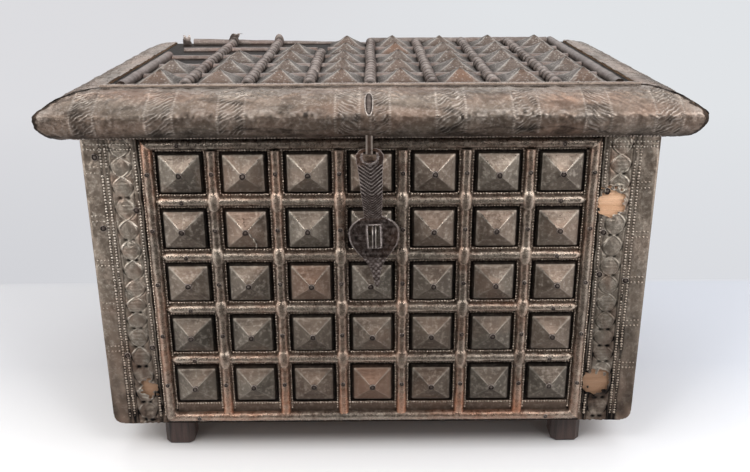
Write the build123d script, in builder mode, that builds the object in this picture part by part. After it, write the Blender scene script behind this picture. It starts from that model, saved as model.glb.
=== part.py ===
from build123d import *
import math
import os

# Metal-clad wooden dowry chest with a hinged, moulded lid and a long iron hasp.
# Millimetres. X runs along the front, Y from front to back, Z up.
# Pieces are drawn about the middle of the body, standing on the floor at z = 0. At the end they all
# move along Y together, so that the origin lies under the middle of the whole chest.

# ---------------------------------------------------------------- body sizes
body_width = 480.0
body_depth = 316.0
body_height = 271.0
board_thickness = 16.0
bottom_thickness = 14.0
sheet_thickness = 1.0
bottom_corner_radius = 9.0
back_fold_width = 18.0
sheet_wrap_angle = 60.0

# ---------------------------------------------------------------- feet
foot_height = 31.0
foot_side = 27.0
foot_chamfer = 4.5
foot_toe_radius = 3.0
foot_setback = 12.0
foot_spacing = 368.0
tenon_side = 13.0
tenon_length = 9.0

# ---------------------------------------------------------------- studwork on the front and sides
column_pitch = 53.0
row_pitch = 49.4
front_columns = 7
side_columns = 5
stud_rows = 5
rib_width = 11.0
rib_height = 7.0
rib_edge_margin = 0.2
bottom_rib_level = 8.5
mitre_seam = 0.4
rib_end_gap = 0.25
knuckle_radius = 6.6
knuckle_length = 15.0
boss_width = 36.5
boss_height = 34.5
boss_plinth = 4.5
boss_rise = 12.0
boss_seat = 3.4

# ---------------------------------------------------------------- border discs and bead lines
disc_diameter = 14.0
disc_pitch = 17.7
disc_rise = 0.8
disc_inset = 31.0
disc_end_margin = 12.0
bead_width = 1.6
bead_rise = 0.7
bead_insets = (18.0, 22.0, 45.0)
left_border_nails = ((11.1, 16.4), (41.3, 62.8), (11.5, 78.8), (42.8, 192.4), (19.5, 200.3))
right_border_nails = ((41.0, 48.5), (41.2, 85.3), (41.4, 124.2), (18.0, 130.1))
nail_seat_clearance = 0.2
panel_gap = 0.4

# ---------------------------------------------------------------- nails
nail_shank = 1.6
nail_bite = 9.0
stud_nail_radius = 2.3
stud_nail_rise = 1.5
rib_nail_radius = 1.9
rib_nail_rise = 1.1
nail_rim_share = 0.3
nail_crown_share = 0.5
carcass_nail_length = 44.0
carcass_nail_side = 2.6

# ---------------------------------------------------------------- lid
lid_gap = 0.3
lid_overhang = 27.1
lid_rail_height = 38.5
moulding_under_radius = 20.1
moulding_nose_radius = 6.0
moulding_shoulder_angle = 50.0
rail_rebate_inset = 17.0
rail_inner_inset = 28.0
rail_shelf_height = 19.2
rail_tuck_inset = 2.0
lid_board_thickness = 16.0
lip_width = 4.0
lip_rise = 2.7
lip_inset = 17.0
batten_depth = 70.0

# ---------------------------------------------------------------- lid studwork
lid_columns = 8
lid_rows = 5
lid_column_pitch = 51.6
lid_row_pitch = 58.2
lid_panel_shift = 2.4
lid_boss_width = 41.0
lid_boss_depth = 48.0
lid_boss_plinth = 0.8
lid_boss_rise = 12.6
lid_boss_tip = 1.2
lid_frame_width = 9.6
lid_frame_height = 6.8
lid_rib_width = 9.0
lid_rib_height = 6.6
lid_ring_radius = 5.1
lid_ring_length = 5.0
lid_rings_per_row = 4
lid_slat_width = 7.0
lid_slat_height = 4.2
lost_bosses = ((0, 2), (0, 3), (0, 4), (1, 3), (1, 4), (2, 4))
broken_frame_end = 40.0
broken_rib_end = 53.0
bent_end_length = 14.0
bent_end_rise = 4.6
flap_width = 13.0
flap_height = 13.5
flap_tip_offset = 3.2
flap_shift = 2.4
flap_thickness = 1.2
crushed_rail_height = 1.8

# ---------------------------------------------------------------- hasp, hanger and lock staple
hasp_thickness = 2.6
hasp_standoff = 14.6
hasp_lean = 2.8
hasp_top_offset = -1.4
hasp_drop_from_lid = 7.8
hasp_rim = 2.6
hasp_crown_width = 14.0
hasp_crown_drop = 0.3
hasp_head_width = 23.4
hasp_head_drop = 6.4
hasp_waist_width = 21.0
hasp_waist_drop = 14.5
hasp_neck_width = 14.7
hasp_neck_drop = 57.0
hasp_shoulder_width = 26.6
hasp_shoulder_drop = 60.8
hasp_disc_width = 43.0
hasp_disc_drop = 72.0
hasp_hip_width = 37.0
hasp_hip_drop = 83.8
hasp_tail_width = 19.0
hasp_tail_drop = 95.0
hasp_leaf_width = 6.8
hasp_leaf_drop = 108.0
hasp_tip_width = 3.0
hasp_tip_drop = 120.5
eye_width = 10.6
eye_length = 8.6
eye_corner_radius = 2.1
slot_width = 10.2
slot_length = 19.4
slot_drop = 74.4
slot_corner_radius = 1.7
hanger_width = 5.6
hanger_thickness = 1.8
hanger_clearance = 0.36
hanger_embed = 14.0
staple_width = 3.4
staple_bar = 3.2
staple_height = 17.4
staple_reach = 26.6
staple_corner_radius = 5.0
staple_clench = 9.0
plate_width = 8.0
plate_rise = 1.1
plate_rim = 1.5
plate_tongue_rise = 0.5
plate_low_angle = 20.0
plate_high_reach = 3.5
plate_depth = 10.0

# ---------------------------------------------------------------- hinges
hinge_spacing = 300.0
hinge_width = 24.0
strap_thickness = 2.0
hinge_pin_radius = 2.0
pin_clearance = 0.08
pin_head_radius = 3.0
pin_head_length = 1.5
knuckle_gap = 0.3
knuckle_clearance = 0.2
body_strap_length = 92.0
lid_strap_length = 64.0
strap_point_length = 12.0
strap_tip_width = 8.0
notch_clearance = 0.5
body_strap_nail_drops = (22.0, 46.0, 70.0)
lid_strap_nail_reaches = (30.0, 50.0)

# ---------------------------------------------------------------- levels and places worked out from the sizes
body_bottom = foot_height
body_top = body_bottom + body_height
front_face = -body_depth / 2
back_face = body_depth / 2
side_face = body_width / 2
carcass_width = body_width - 2 * sheet_thickness
carcass_depth = body_depth - 2 * sheet_thickness
inner_width = carcass_width - 2 * board_thickness
inner_depth = carcass_depth - 2 * board_thickness

top_rib_level = body_height - rib_width / 2 - rib_edge_margin
first_row_level = top_rib_level - row_pitch / 2 + rib_edge_margin
frame_middle_level = (top_rib_level + bottom_rib_level) / 2
frame_length_up = top_rib_level - bottom_rib_level

front_plane = Plane(origin=(0, front_face, body_bottom), x_dir=(1, 0, 0), z_dir=(0, -1, 0))
left_plane = Plane(origin=(-side_face, 0, body_bottom), x_dir=(0, -1, 0), z_dir=(-1, 0, 0))
right_plane = Plane(origin=(side_face, 0, body_bottom), x_dir=(0, 1, 0), z_dir=(1, 0, 0))

lid_bottom = body_top + lid_gap
lid_board_bottom = lid_bottom + rail_shelf_height
panel_top = lid_board_bottom + lid_board_thickness + sheet_thickness
lid_plane = Plane.XY.offset(panel_top)
lid_frame_x = lid_columns * lid_column_pitch / 2
lid_frame_front = lid_panel_shift - lid_rows * lid_row_pitch / 2
lid_frame_back = lid_panel_shift + lid_rows * lid_row_pitch / 2

under_centre = (lid_overhang - moulding_under_radius, lid_bottom + moulding_under_radius)
nose_centre = (lid_overhang - moulding_nose_radius, lid_bottom + moulding_under_radius)
shoulder_turn = 90.0 - moulding_shoulder_angle
nose_end_x = nose_centre[0] + moulding_nose_radius * math.cos(math.radians(moulding_shoulder_angle))
nose_end_z = nose_centre[1] + moulding_nose_radius * math.sin(math.radians(moulding_shoulder_angle))
shoulder_rise = lid_bottom + lid_rail_height - nose_end_z
shoulder_radius = shoulder_rise / (1 - math.cos(math.radians(shoulder_turn)))
shoulder_centre = (
    nose_end_x - shoulder_radius * math.sin(math.radians(shoulder_turn)),
    lid_bottom + lid_rail_height - shoulder_radius,
)
rail_top = lid_bottom + lid_rail_height

hinge_knuckle_radius = hinge_pin_radius + strap_thickness
back_board_face = back_face - sheet_thickness
hinge_y = back_board_face + hinge_knuckle_radius + knuckle_clearance
hinge_z = lid_bottom - hinge_knuckle_radius
hinge_knuckle_length = hinge_width / 3
notch_floor = lid_bottom - strap_thickness - notch_clearance

hasp_axis_z = lid_bottom - hasp_drop_from_lid
hasp_axis_y = front_face - hasp_standoff - hasp_thickness / 2
hasp_plane = Plane(
    origin=(hasp_top_offset, hasp_axis_y, hasp_axis_z),
    x_dir=(math.cos(math.radians(hasp_lean)), 0, math.sin(math.radians(hasp_lean))),
    z_dir=(0, -1, 0),
)
slot_centre = hasp_plane.from_local_coords(Vector(0, -slot_drop, 0))


finished_pieces = {}


def finish(piece, name):
    """Keep a finished piece under its own name."""
    finished_pieces[name] = piece.part


# ---------------------------------------------------------------- repeated small shapes
def rib_section(width, height):
    """Half-round section on short upright flanks, standing on the line y = 0."""
    shoulder = height - width / 2
    with BuildLine() as outline:
        Polyline((-width / 2, shoulder), (-width / 2, 0), (width / 2, 0), (width / 2, shoulder))
        ThreePointArc((width / 2, shoulder), (0, height), (-width / 2, shoulder))
    make_face(outline.edges())


def low_rib_section(width, height):
    """Low arched section standing on the line y = 0."""
    with BuildLine() as outline:
        Line((-width / 2, 0), (width / 2, 0))
        ThreePointArc((width / 2, 0), (0, height), (-width / 2, 0))
    make_face(outline.edges())


def nail_holes(plane, places, depth):
    """Square holes from the plane inwards, cut from the part being built."""
    with BuildSketch(plane) as holes:
        with Locations(*places):
            Rectangle(nail_shank, nail_shank)
    extrude(holes.sketch, amount=-depth, mode=Mode.SUBTRACT)


def make_nail(head_radius, head_rise, length):
    """Square-shanked nail with a hammered, flat-topped head, seated on the plane z = 0."""
    with BuildPart() as nail:
        with BuildSketch():
            Circle(head_radius)
        extrude(amount=head_rise * nail_rim_share)
        with BuildSketch(Plane.XY.offset(head_rise * nail_rim_share)):
            Circle(head_radius)
        with BuildSketch(Plane.XY.offset(head_rise)):
            Circle(head_radius * nail_crown_share)
        loft()
        with BuildSketch():
            Rectangle(nail_shank, nail_shank)
        extrude(amount=-length)
    return nail.part


def make_boss(width, height, plinth, rise, tip, hole):
    """Pyramid boss on an upright plinth, with an optional square nail hole."""
    with BuildPart() as boss:
        with BuildSketch():
            Rectangle(width, height)
        extrude(amount=plinth)
        with BuildSketch(Plane.XY.offset(plinth)):
            Rectangle(width, height)
        with BuildSketch(Plane.XY.offset(rise)):
            Rectangle(tip, tip)
        loft()
        if hole > 0:
            with BuildSketch():
                Rectangle(hole, hole)
            extrude(amount=rise, mode=Mode.SUBTRACT)
    return boss.part


def make_straight_rib(length, width, height):
    """Plain half-round rib along X, centred on the origin."""
    with BuildPart() as rib:
        with BuildSketch(Plane.YZ.offset(-length / 2)):
            rib_section(width, height)
        extrude(amount=length)
    return rib.part


def make_mitred_rib(length, width, height):
    """Half-round frame rib along X with both ends mitred towards +Y."""
    with BuildPart() as rib:
        with BuildSketch(Plane.YZ.offset(-(length + width) / 2)):
            rib_section(width, height)
        extrude(amount=length + width)
        split(bisect_by=Plane(origin=((length - mitre_seam) / 2, 0, 0), z_dir=(1, 1, 0)), keep=Keep.BOTTOM)
        split(bisect_by=Plane(origin=((mitre_seam - length) / 2, 0, 0), z_dir=(-1, 1, 0)), keep=Keep.BOTTOM)
    return rib.part


def make_knuckled_rib(length, width, height, places, barrel_length, barrel_radius):
    """Half-round rib along X, centred on the origin, swelling into a barrel at each place."""
    core = height - width / 2
    with BuildPart() as rib:
        with BuildSketch(Plane.YZ.offset(-length / 2)):
            rib_section(width, height)
        extrude(amount=length)
        with BuildSketch(Plane.XZ):
            for place in places:
                start = place - barrel_length / 2
                end = place + barrel_length / 2
                crown = core + width / 2
                with BuildLine():
                    Polyline((start, crown), (start, core), (end, core), (end, crown))
                    ThreePointArc((end, crown), (place, core + barrel_radius), (start, crown))
                make_face()
        revolve(axis=Axis((0, 0, core), (1, 0, 0)))
        split(bisect_by=Plane.XY, keep=Keep.TOP)
    return rib.part


# ---------------------------------------------------------------- places of the studwork on one face
def row_level(row):
    return first_row_level - row * row_pitch


def crossing_level(crossing):
    return first_row_level - (crossing + 0.5) * row_pitch


def column_place(column, columns):
    return (column - (columns - 1) / 2) * column_pitch


def upright_place(upright, columns):
    return (upright + 1 - columns / 2) * column_pitch


def boss_places(columns):
    return [(column_place(c, columns), row_level(r)) for c in range(columns) for r in range(stud_rows)]


def rib_nail_places(columns):
    """Nails through the uprights, the side frame ribs and the end lengths of the cross ribs."""
    edge = columns * column_pitch / 2
    lines = [upright_place(u, columns) for u in range(columns - 1)] + [-edge, edge]
    places = [(x, row_level(r)) for x in lines for r in range(stud_rows)]
    outer = column_place(columns - 1, columns)
    for x in (-outer, outer):
        places += [(x, crossing_level(c)) for c in range(stud_rows - 1)]
        places += [(x, top_rib_level), (x, bottom_rib_level)]
    return places


def frame_ribs(plane, columns):
    """Four mitred half-round ribs round one face."""
    across = columns * column_pitch
    top_bottom = make_mitred_rib(across, rib_width, rib_height)
    left_right = make_mitred_rib(frame_length_up, rib_width, rib_height)
    with BuildPart(plane) as ribs:
        with Locations(Location((0, bottom_rib_level, 0)), Location((0, top_rib_level, 0), (0, 0, 180))):
            add(top_bottom)
        with Locations(
            Location((-across / 2, frame_middle_level, 0), (0, 0, -90)),
            Location((across / 2, frame_middle_level, 0), (0, 0, 90)),
        ):
            add(left_right)
        nail_holes(plane.offset(rib_height), rib_nail_places(columns), rib_height)
    return ribs


def upright_ribs(plane, columns):
    """Continuous knuckled ribs between the columns of bosses."""
    length = frame_length_up - rib_width - 2 * rib_end_gap
    knuckles = [crossing_level(c) - frame_middle_level for c in range(stud_rows - 1)]
    upright = make_knuckled_rib(length, rib_width, rib_height, knuckles, knuckle_length, knuckle_radius)
    with BuildPart(plane) as ribs:
        for u in range(columns - 1):
            with Locations(Location((upright_place(u, columns), frame_middle_level, 0), (0, 0, 90))):
                add(upright)
        nail_holes(plane.offset(rib_height), rib_nail_places(columns), rib_height)
    return ribs


def cross_ribs(plane, columns):
    """Short lengths of rib between the uprights, rounded off at both ends."""
    middle_length = column_pitch - 2 * (knuckle_radius + rib_end_gap)
    end_length = column_pitch - knuckle_radius - rib_width / 2 - 2 * rib_end_gap
    end_shift = (knuckle_radius - rib_width / 2) / 2
    middle = make_straight_rib(middle_length, rib_width, rib_height)
    end = make_straight_rib(end_length, rib_width, rib_height)
    outer = column_place(columns - 1, columns)
    levels = [crossing_level(c) for c in range(stud_rows - 1)]
    with BuildPart(plane) as ribs:
        with Locations(*[(column_place(c, columns), z) for c in range(1, columns - 1) for z in levels]):
            add(middle)
        with Locations(*[(side * (outer + end_shift), z) for side in (-1, 1) for z in levels]):
            add(end)
        nail_holes(plane.offset(rib_height), rib_nail_places(columns), rib_height)
    return ribs


def bosses(plane, places, with_staple):
    boss = make_boss(boss_width, boss_height, boss_plinth, boss_rise, boss_seat, nail_shank)
    with BuildPart(plane) as group:
        with Locations(*places):
            add(boss)
        if with_staple:
            staple_holes(plane.offset(boss_rise), boss_rise)
    return group


def nails_at(plane, places, head_radius, head_rise, length):
    nail = make_nail(head_radius, head_rise, length)
    with BuildPart(plane) as group:
        with Locations(*places):
            add(nail)
    return group


# ---------------------------------------------------------------- carcass
staple_place = (slot_centre.X, slot_centre.Z - body_bottom)
front_boss_nail_places = [
    place for place in boss_places(front_columns) if math.dist(place, staple_place) > boss_width / 2
]
side_boss_nail_places = boss_places(side_columns)
front_nail_places = front_boss_nail_places + rib_nail_places(front_columns)
side_nail_places = side_boss_nail_places + rib_nail_places(side_columns)

field_half_width = front_columns * column_pitch / 2 + rib_width / 2
border_width = side_face - field_half_width - panel_gap
border_nail_places = [(inset - side_face, body_height - drop) for inset, drop in left_border_nails]
border_nail_places += [(side_face - inset, body_height - drop) for inset, drop in right_border_nails]
carcass_corner_radius = bottom_corner_radius - sheet_thickness
staple_leg_offset = (staple_height - staple_bar) / 2
staple_leg_places = [(staple_place[0], staple_place[1] + side * staple_leg_offset) for side in (-1, 1)]
carcass_nail_x = (inner_width + board_thickness) / 2
carcass_nail_places = [
    (side * carcass_nail_x, crossing_level(c)) for side in (-1, 1) for c in range(stud_rows - 1)
]


def staple_holes(plane, depth):
    """Two holes for the legs of the lock staple."""
    with BuildSketch(plane) as holes:
        with Locations(*staple_leg_places):
            Rectangle(staple_width, staple_bar)
    extrude(holes.sketch, amount=-depth, mode=Mode.SUBTRACT)


def carcass_nail_holes(plane, depth):
    with BuildSketch(plane) as holes:
        with Locations(*carcass_nail_places):
            Rectangle(carcass_nail_side, carcass_nail_side)
    extrude(holes.sketch, amount=-depth, mode=Mode.SUBTRACT)


carcass_front_plane = front_plane.offset(-sheet_thickness)
carcass_back_plane = Plane(
    origin=(0, back_board_face, body_bottom), x_dir=(-1, 0, 0), z_dir=(0, 1, 0)
)
board_middle = (0, body_height / 2)
hinge_places = (-hinge_spacing / 2, hinge_spacing / 2)
strap_top = hinge_z - body_bottom
body_strap_nail_places = [(x, strap_top - drop) for x in hinge_places for drop in body_strap_nail_drops]
lid_strap_nail_places = [(x, hinge_y - reach) for x in hinge_places for reach in lid_strap_nail_reaches]

with BuildPart(carcass_front_plane) as front_board:
    with BuildSketch(carcass_front_plane) as front_outline:
        with Locations(board_middle):
            Rectangle(carcass_width, body_height)
        fillet(front_outline.vertices().group_by(Axis.Y)[0], carcass_corner_radius)
    extrude(amount=-board_thickness)
    nail_holes(carcass_front_plane, front_nail_places + border_nail_places, nail_bite)
    staple_holes(carcass_front_plane, board_thickness)
    carcass_nail_holes(carcass_front_plane, board_thickness)
finish(front_board, "front_board")

with BuildPart(carcass_back_plane) as back_board:
    with BuildSketch(carcass_back_plane) as back_outline:
        with Locations(board_middle):
            Rectangle(carcass_width, body_height)
        fillet(back_outline.vertices().group_by(Axis.Y)[0], carcass_corner_radius)
    extrude(amount=-board_thickness)
    carcass_nail_holes(carcass_back_plane, board_thickness)
    with BuildSketch(Plane.XY.offset(body_top)):
        with Locations(*[(x, back_board_face - board_thickness / 2) for x in hinge_places]):
            Rectangle(hinge_width + 2 * notch_clearance, board_thickness)
    extrude(amount=notch_floor - body_top, mode=Mode.SUBTRACT)
    nail_holes(carcass_back_plane, body_strap_nail_places, nail_bite)
finish(back_board, "back_board")

for name, side, plane in (("left_board", -1, left_plane), ("right_board", 1, right_plane)):
    with BuildPart() as end_board:
        with BuildSketch(Plane.XZ.offset(-inner_depth / 2)) as end_section:
            with BuildLine():
                outer_x = side * carcass_width / 2
                inner_x = side * inner_width / 2
                turn_x = side * (carcass_width / 2 - carcass_corner_radius)
                turn_z = body_bottom + carcass_corner_radius
                diagonal = carcass_corner_radius * math.sqrt(0.5)
                Polyline((outer_x, turn_z), (outer_x, body_top), (inner_x, body_top), (inner_x, body_bottom),
                         (turn_x, body_bottom))
                ThreePointArc((turn_x, body_bottom), (turn_x + side * diagonal, turn_z - diagonal),
                              (outer_x, turn_z))
            make_face()
        extrude(amount=inner_depth)
        nail_holes(plane.offset(-sheet_thickness), side_nail_places, nail_bite)
        carcass_nail_holes(carcass_front_plane, carcass_nail_length)
        carcass_nail_holes(carcass_back_plane, carcass_nail_length)
    finish(end_board, name)

foot_centre_y = body_depth / 2 - foot_setback - foot_side / 2
foot_places = {
    "foot_front_left": (-foot_spacing / 2, -foot_centre_y),
    "foot_front_right": (foot_spacing / 2, -foot_centre_y),
    "foot_back_left": (-foot_spacing / 2, foot_centre_y),
    "foot_back_right": (foot_spacing / 2, foot_centre_y),
}

with BuildPart() as bottom_board:
    with BuildSketch(Plane.XY.offset(body_bottom)):
        Rectangle(inner_width, inner_depth)
        with Locations(*foot_places.values()):
            Rectangle(tenon_side, tenon_side, mode=Mode.SUBTRACT)
    extrude(amount=tenon_length)
    with BuildSketch(Plane.XY.offset(body_bottom + tenon_length)):
        Rectangle(inner_width, inner_depth)
    extrude(amount=bottom_thickness - tenon_length)
finish(bottom_board, "bottom_board")

with BuildPart() as carcass_nails:
    for plane in (carcass_front_plane, carcass_back_plane):
        with BuildSketch(plane):
            with Locations(*carcass_nail_places):
                Rectangle(carcass_nail_side, carcass_nail_side)
        extrude(amount=-carcass_nail_length)
finish(carcass_nails, "carcass_nails")

for name, place in foot_places.items():
    with BuildPart() as foot:
        with BuildSketch() as foot_outline:
            with Locations(place):
                Rectangle(foot_side, foot_side)
            chamfer(foot_outline.vertices(), foot_chamfer)
        extrude(amount=foot_height)
        fillet(foot.faces().sort_by(Axis.Z)[0].edges(), foot_toe_radius)
        with BuildSketch(Plane.XY.offset(foot_height)):
            with Locations(place):
                Rectangle(tenon_side, tenon_side)
        extrude(amount=tenon_length)
    finish(foot, name)

# ---------------------------------------------------------------- metal skin of the body
with BuildPart() as front_field_sheet:
    with BuildSketch(carcass_front_plane):
        with Locations(board_middle):
            Rectangle(2 * field_half_width, body_height)
    extrude(amount=sheet_thickness)
    nail_holes(front_plane, front_nail_places, sheet_thickness)
    staple_holes(front_plane, sheet_thickness)
finish(front_field_sheet, "front_field_sheet")

disc_count = math.floor((body_height - 2 * disc_end_margin) / disc_pitch)
disc_levels = [body_height / 2 + (n - (disc_count - 1) / 2) * disc_pitch for n in range(disc_count)]

for name, side in (("front_left_border_sheet", -1), ("front_right_border_sheet", 1)):
    with BuildPart() as border:
        with BuildSketch(carcass_front_plane) as border_outline:
            with Locations((side * (side_face - border_width / 2), body_height / 2)):
                Rectangle(border_width, body_height)
            outer_vertices = border_outline.vertices().group_by(Axis.Y)[0].sort_by(Axis.X)
            fillet(outer_vertices[0 if side < 0 else -1], bottom_corner_radius)
        extrude(amount=sheet_thickness)
        with BuildSketch(front_plane):
            with Locations(*[(side * (side_face - disc_inset), z) for z in disc_levels]):
                Circle(disc_diameter / 2)
        extrude(amount=disc_rise)
        with BuildSketch(front_plane):
            with Locations(*[(side * (side_face - inset), body_height / 2) for inset in bead_insets]):
                Rectangle(bead_width, body_height - 2 * bottom_corner_radius)
        extrude(amount=bead_rise)
        with BuildSketch(front_plane):
            with Locations(*border_nail_places):
                Circle(stud_nail_radius + nail_seat_clearance)
        extrude(amount=disc_rise, mode=Mode.SUBTRACT)
        nail_holes(front_plane, border_nail_places, sheet_thickness)
    finish(border, name)

for name, side, plane in (("left_side_sheet", -1, left_plane), ("right_side_sheet", 1, right_plane)):
    with BuildPart() as side_sheet:
        with BuildSketch(Plane.XZ.offset(-carcass_depth / 2)):
            with BuildLine():
                outer_x = side * side_face
                inner_x = side * (side_face - sheet_thickness)
                turn_x = side * (side_face - bottom_corner_radius)
                turn_z = body_bottom + carcass_corner_radius
                Polyline((outer_x, turn_z), (outer_x, body_top), (inner_x, body_top), (inner_x, turn_z))
                first_angle = 0 if side > 0 else 180
                wrap = -side * sheet_wrap_angle
                inner_arc = CenterArc((turn_x, turn_z), carcass_corner_radius, first_angle, wrap)
                outer_arc = CenterArc((turn_x, turn_z), bottom_corner_radius, first_angle, wrap)
                Line(inner_arc @ 1, outer_arc @ 1)
            make_face()
        extrude(amount=carcass_depth)
        with BuildSketch(Plane.XZ.offset(-back_face)) as fold_outline:
            with Locations((side * (side_face - back_fold_width / 2), body_bottom + body_height / 2)):
                Rectangle(back_fold_width, body_height)
            fold_vertices = fold_outline.vertices().group_by(Axis.Y)[0].sort_by(Axis.X)
            fillet(fold_vertices[0 if side < 0 else -1], bottom_corner_radius)
        extrude(amount=sheet_thickness)
        nail_holes(plane, side_nail_places, 2 * sheet_thickness)
    finish(side_sheet, name)

# ---------------------------------------------------------------- studwork on the three faces
faces = (
    ("front", front_plane, front_columns),
    ("left", left_plane, side_columns),
    ("right", right_plane, side_columns),
)
boss_nail_length = boss_rise + sheet_thickness + nail_bite
rib_nail_length = rib_height + sheet_thickness + nail_bite
for face, plane, columns in faces:
    finish(frame_ribs(plane, columns), f"{face}_frame_ribs")
    finish(upright_ribs(plane, columns), f"{face}_upright_ribs")
    finish(cross_ribs(plane, columns), f"{face}_cross_ribs")
    finish(bosses(plane, boss_places(columns), face == "front"), f"{face}_bosses")
    rib_nails = nails_at(plane.offset(rib_height), rib_nail_places(columns), rib_nail_radius, rib_nail_rise,
                         rib_nail_length)
    finish(rib_nails, f"{face}_rib_nails")
    tip_places = front_boss_nail_places if face == "front" else side_boss_nail_places
    boss_nails = nails_at(plane.offset(boss_rise), tip_places, stud_nail_radius, stud_nail_rise,
                          boss_nail_length)
    finish(boss_nails, f"{face}_boss_nails")

border_nail_length = sheet_thickness + nail_bite
border_nails = nails_at(front_plane, border_nail_places, stud_nail_radius, stud_nail_rise, border_nail_length)
finish(border_nails, "border_nails")


# ---------------------------------------------------------------- lid rails
def moulding_outline(inset, mode=Mode.ADD):
    """Outline of the moulding in (outward, up) coordinates, moved inwards by the inset."""
    inner_x = -rail_rebate_inset
    with BuildLine() as outline:
        under = CenterArc(under_centre, moulding_under_radius - inset, -90, 90)
        CenterArc(nose_centre, moulding_nose_radius - inset, 0, moulding_shoulder_angle)
        shoulder = CenterArc(shoulder_centre, shoulder_radius - inset, moulding_shoulder_angle, shoulder_turn)
        Polyline(shoulder @ 1, (inner_x, rail_top - inset), (inner_x, lid_bottom + inset), under @ 0)
    make_face(outline.edges(), mode=mode)


def rail_wood_section():
    """Section of the wooden core: moulded outside, rebated inside for the lid board."""
    moulding_outline(sheet_thickness)
    with Locations((-(rail_inner_inset + rail_rebate_inset) / 2, lid_bottom + rail_shelf_height / 2)):
        Rectangle(rail_inner_inset - rail_rebate_inset, rail_shelf_height)
    with Locations((-(rail_rebate_inset + rail_tuck_inset) / 2, lid_bottom + sheet_thickness / 2)):
        Rectangle(rail_rebate_inset - rail_tuck_inset, sheet_thickness)


def rail_sheet_section():
    """Section of the sheet wrapped round the moulding."""
    moulding_outline(0)
    moulding_outline(sheet_thickness, Mode.SUBTRACT)
    with Locations((-(rail_rebate_inset + rail_tuck_inset) / 2, lid_bottom + sheet_thickness / 2)):
        Rectangle(rail_rebate_inset - rail_tuck_inset, sheet_thickness, mode=Mode.SUBTRACT)


front_rail_plane = Plane(origin=(0, front_face, 0), x_dir=(0, -1, 0), z_dir=(-1, 0, 0))
left_rail_plane = Plane(origin=(-side_face, back_face, 0), x_dir=(-1, 0, 0), z_dir=(0, 1, 0))
right_rail_plane = Plane(origin=(side_face, back_face, 0), x_dir=(1, 0, 0), z_dir=(0, -1, 0))
mitre_offset = mitre_seam / math.sqrt(2)
rail_reach = side_face + 2 * lid_overhang
hanger_gap = 2 * (hasp_rim * math.sqrt(0.5) + hanger_clearance)
hanger_leg_offset = (hanger_gap + hanger_thickness) / 2
hanger_leg_places = [
    (hasp_top_offset, hasp_axis_y - hanger_leg_offset),
    (hasp_top_offset, hasp_axis_y + hanger_leg_offset),
]
hanger_top = lid_bottom + hanger_embed


def front_mitre(side):
    """Cut one end of the front rail at the corner's diagonal."""
    corner = Plane(origin=(side * (side_face - mitre_offset / 2), front_face, 0), z_dir=(-side, -1, 0))
    split(bisect_by=corner, keep=Keep.TOP)


def side_mitre(side):
    """Cut the front end of a side rail at the corner's diagonal."""
    corner = Plane(origin=(side * (side_face + mitre_offset / 2), front_face, 0), z_dir=(side, 1, 0))
    split(bisect_by=corner, keep=Keep.TOP)


def hanger_holes():
    """Two blind holes for the legs of the hasp's hanger."""
    with BuildSketch(Plane.XY.offset(lid_bottom)) as holes:
        with Locations(*hanger_leg_places):
            Rectangle(hanger_width, hanger_thickness)
    extrude(holes.sketch, amount=hanger_embed, mode=Mode.SUBTRACT)


for name, section in (("lid_front_rail", rail_wood_section), ("lid_front_rail_sheet", rail_sheet_section)):
    with BuildPart() as front_rail:
        with BuildSketch(front_rail_plane):
            section()
        extrude(amount=rail_reach, both=True)
        front_mitre(-1)
        front_mitre(1)
        hanger_holes()
    finish(front_rail, name)

for side_name, side, plane in (("left", -1, left_rail_plane), ("right", 1, right_rail_plane)):
    for name, section in (("rail", rail_wood_section), ("rail_sheet", rail_sheet_section)):
        with BuildPart() as side_rail:
            with BuildSketch(plane):
                section()
            extrude(amount=side * (body_depth + 2 * lid_overhang))
            side_mitre(side)
        finish(side_rail, f"lid_{side_name}_{name}")

batten_width = body_width - 2 * rail_inner_inset
with BuildPart() as lid_back_batten:
    with BuildSketch(Plane.XY.offset(lid_bottom)):
        with Locations((0, back_face - batten_depth / 2)):
            Rectangle(batten_width, batten_depth)
        with Locations(*lid_strap_nail_places):
            Rectangle(nail_shank, nail_shank, mode=Mode.SUBTRACT)
    extrude(amount=nail_bite)
    with BuildSketch(Plane.XY.offset(lid_bottom + nail_bite)):
        with Locations((0, back_face - batten_depth / 2)):
            Rectangle(batten_width, batten_depth)
    extrude(amount=rail_shelf_height - nail_bite)
finish(lid_back_batten, "lid_back_batten")

lid_board_width = body_width - 2 * rail_rebate_inset
lid_board_front = front_face + rail_rebate_inset
lid_board_depth = back_face - lid_board_front
lid_board_middle_y = (back_face + lid_board_front) / 2
with BuildPart() as lid_board:
    with BuildSketch(Plane.XY.offset(lid_board_bottom)):
        with Locations((0, lid_board_middle_y)):
            Rectangle(lid_board_width, lid_board_depth)
    extrude(amount=lid_board_thickness)
finish(lid_board, "lid_board")

with BuildPart() as lid_panel_sheet:
    with BuildSketch(Plane.XY.offset(panel_top - sheet_thickness)):
        with Locations((0, lid_board_middle_y)):
            Rectangle(lid_board_width, lid_board_depth)
    extrude(amount=sheet_thickness)
finish(lid_panel_sheet, "lid_panel_sheet")

lip_plane = Plane(
    origin=(-lid_board_width / 2, front_face + lip_inset - lip_width / 2, rail_top),
    x_dir=(0, 1, 0),
    z_dir=(1, 0, 0),
)
with BuildPart() as lid_front_lip:
    with BuildSketch(lip_plane):
        low_rib_section(lip_width, lip_rise)
    extrude(amount=lid_board_width)
finish(lid_front_lip, "lid_front_lip")


# ---------------------------------------------------------------- lid studwork
def lid_column_place(column):
    return (column - (lid_columns - 1) / 2) * lid_column_pitch


def lid_row_place(row):
    return lid_panel_shift + (row - (lid_rows - 1) / 2) * lid_row_pitch


def lid_rib_place(rib):
    return (rib + 1 - lid_columns / 2) * lid_column_pitch


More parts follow.
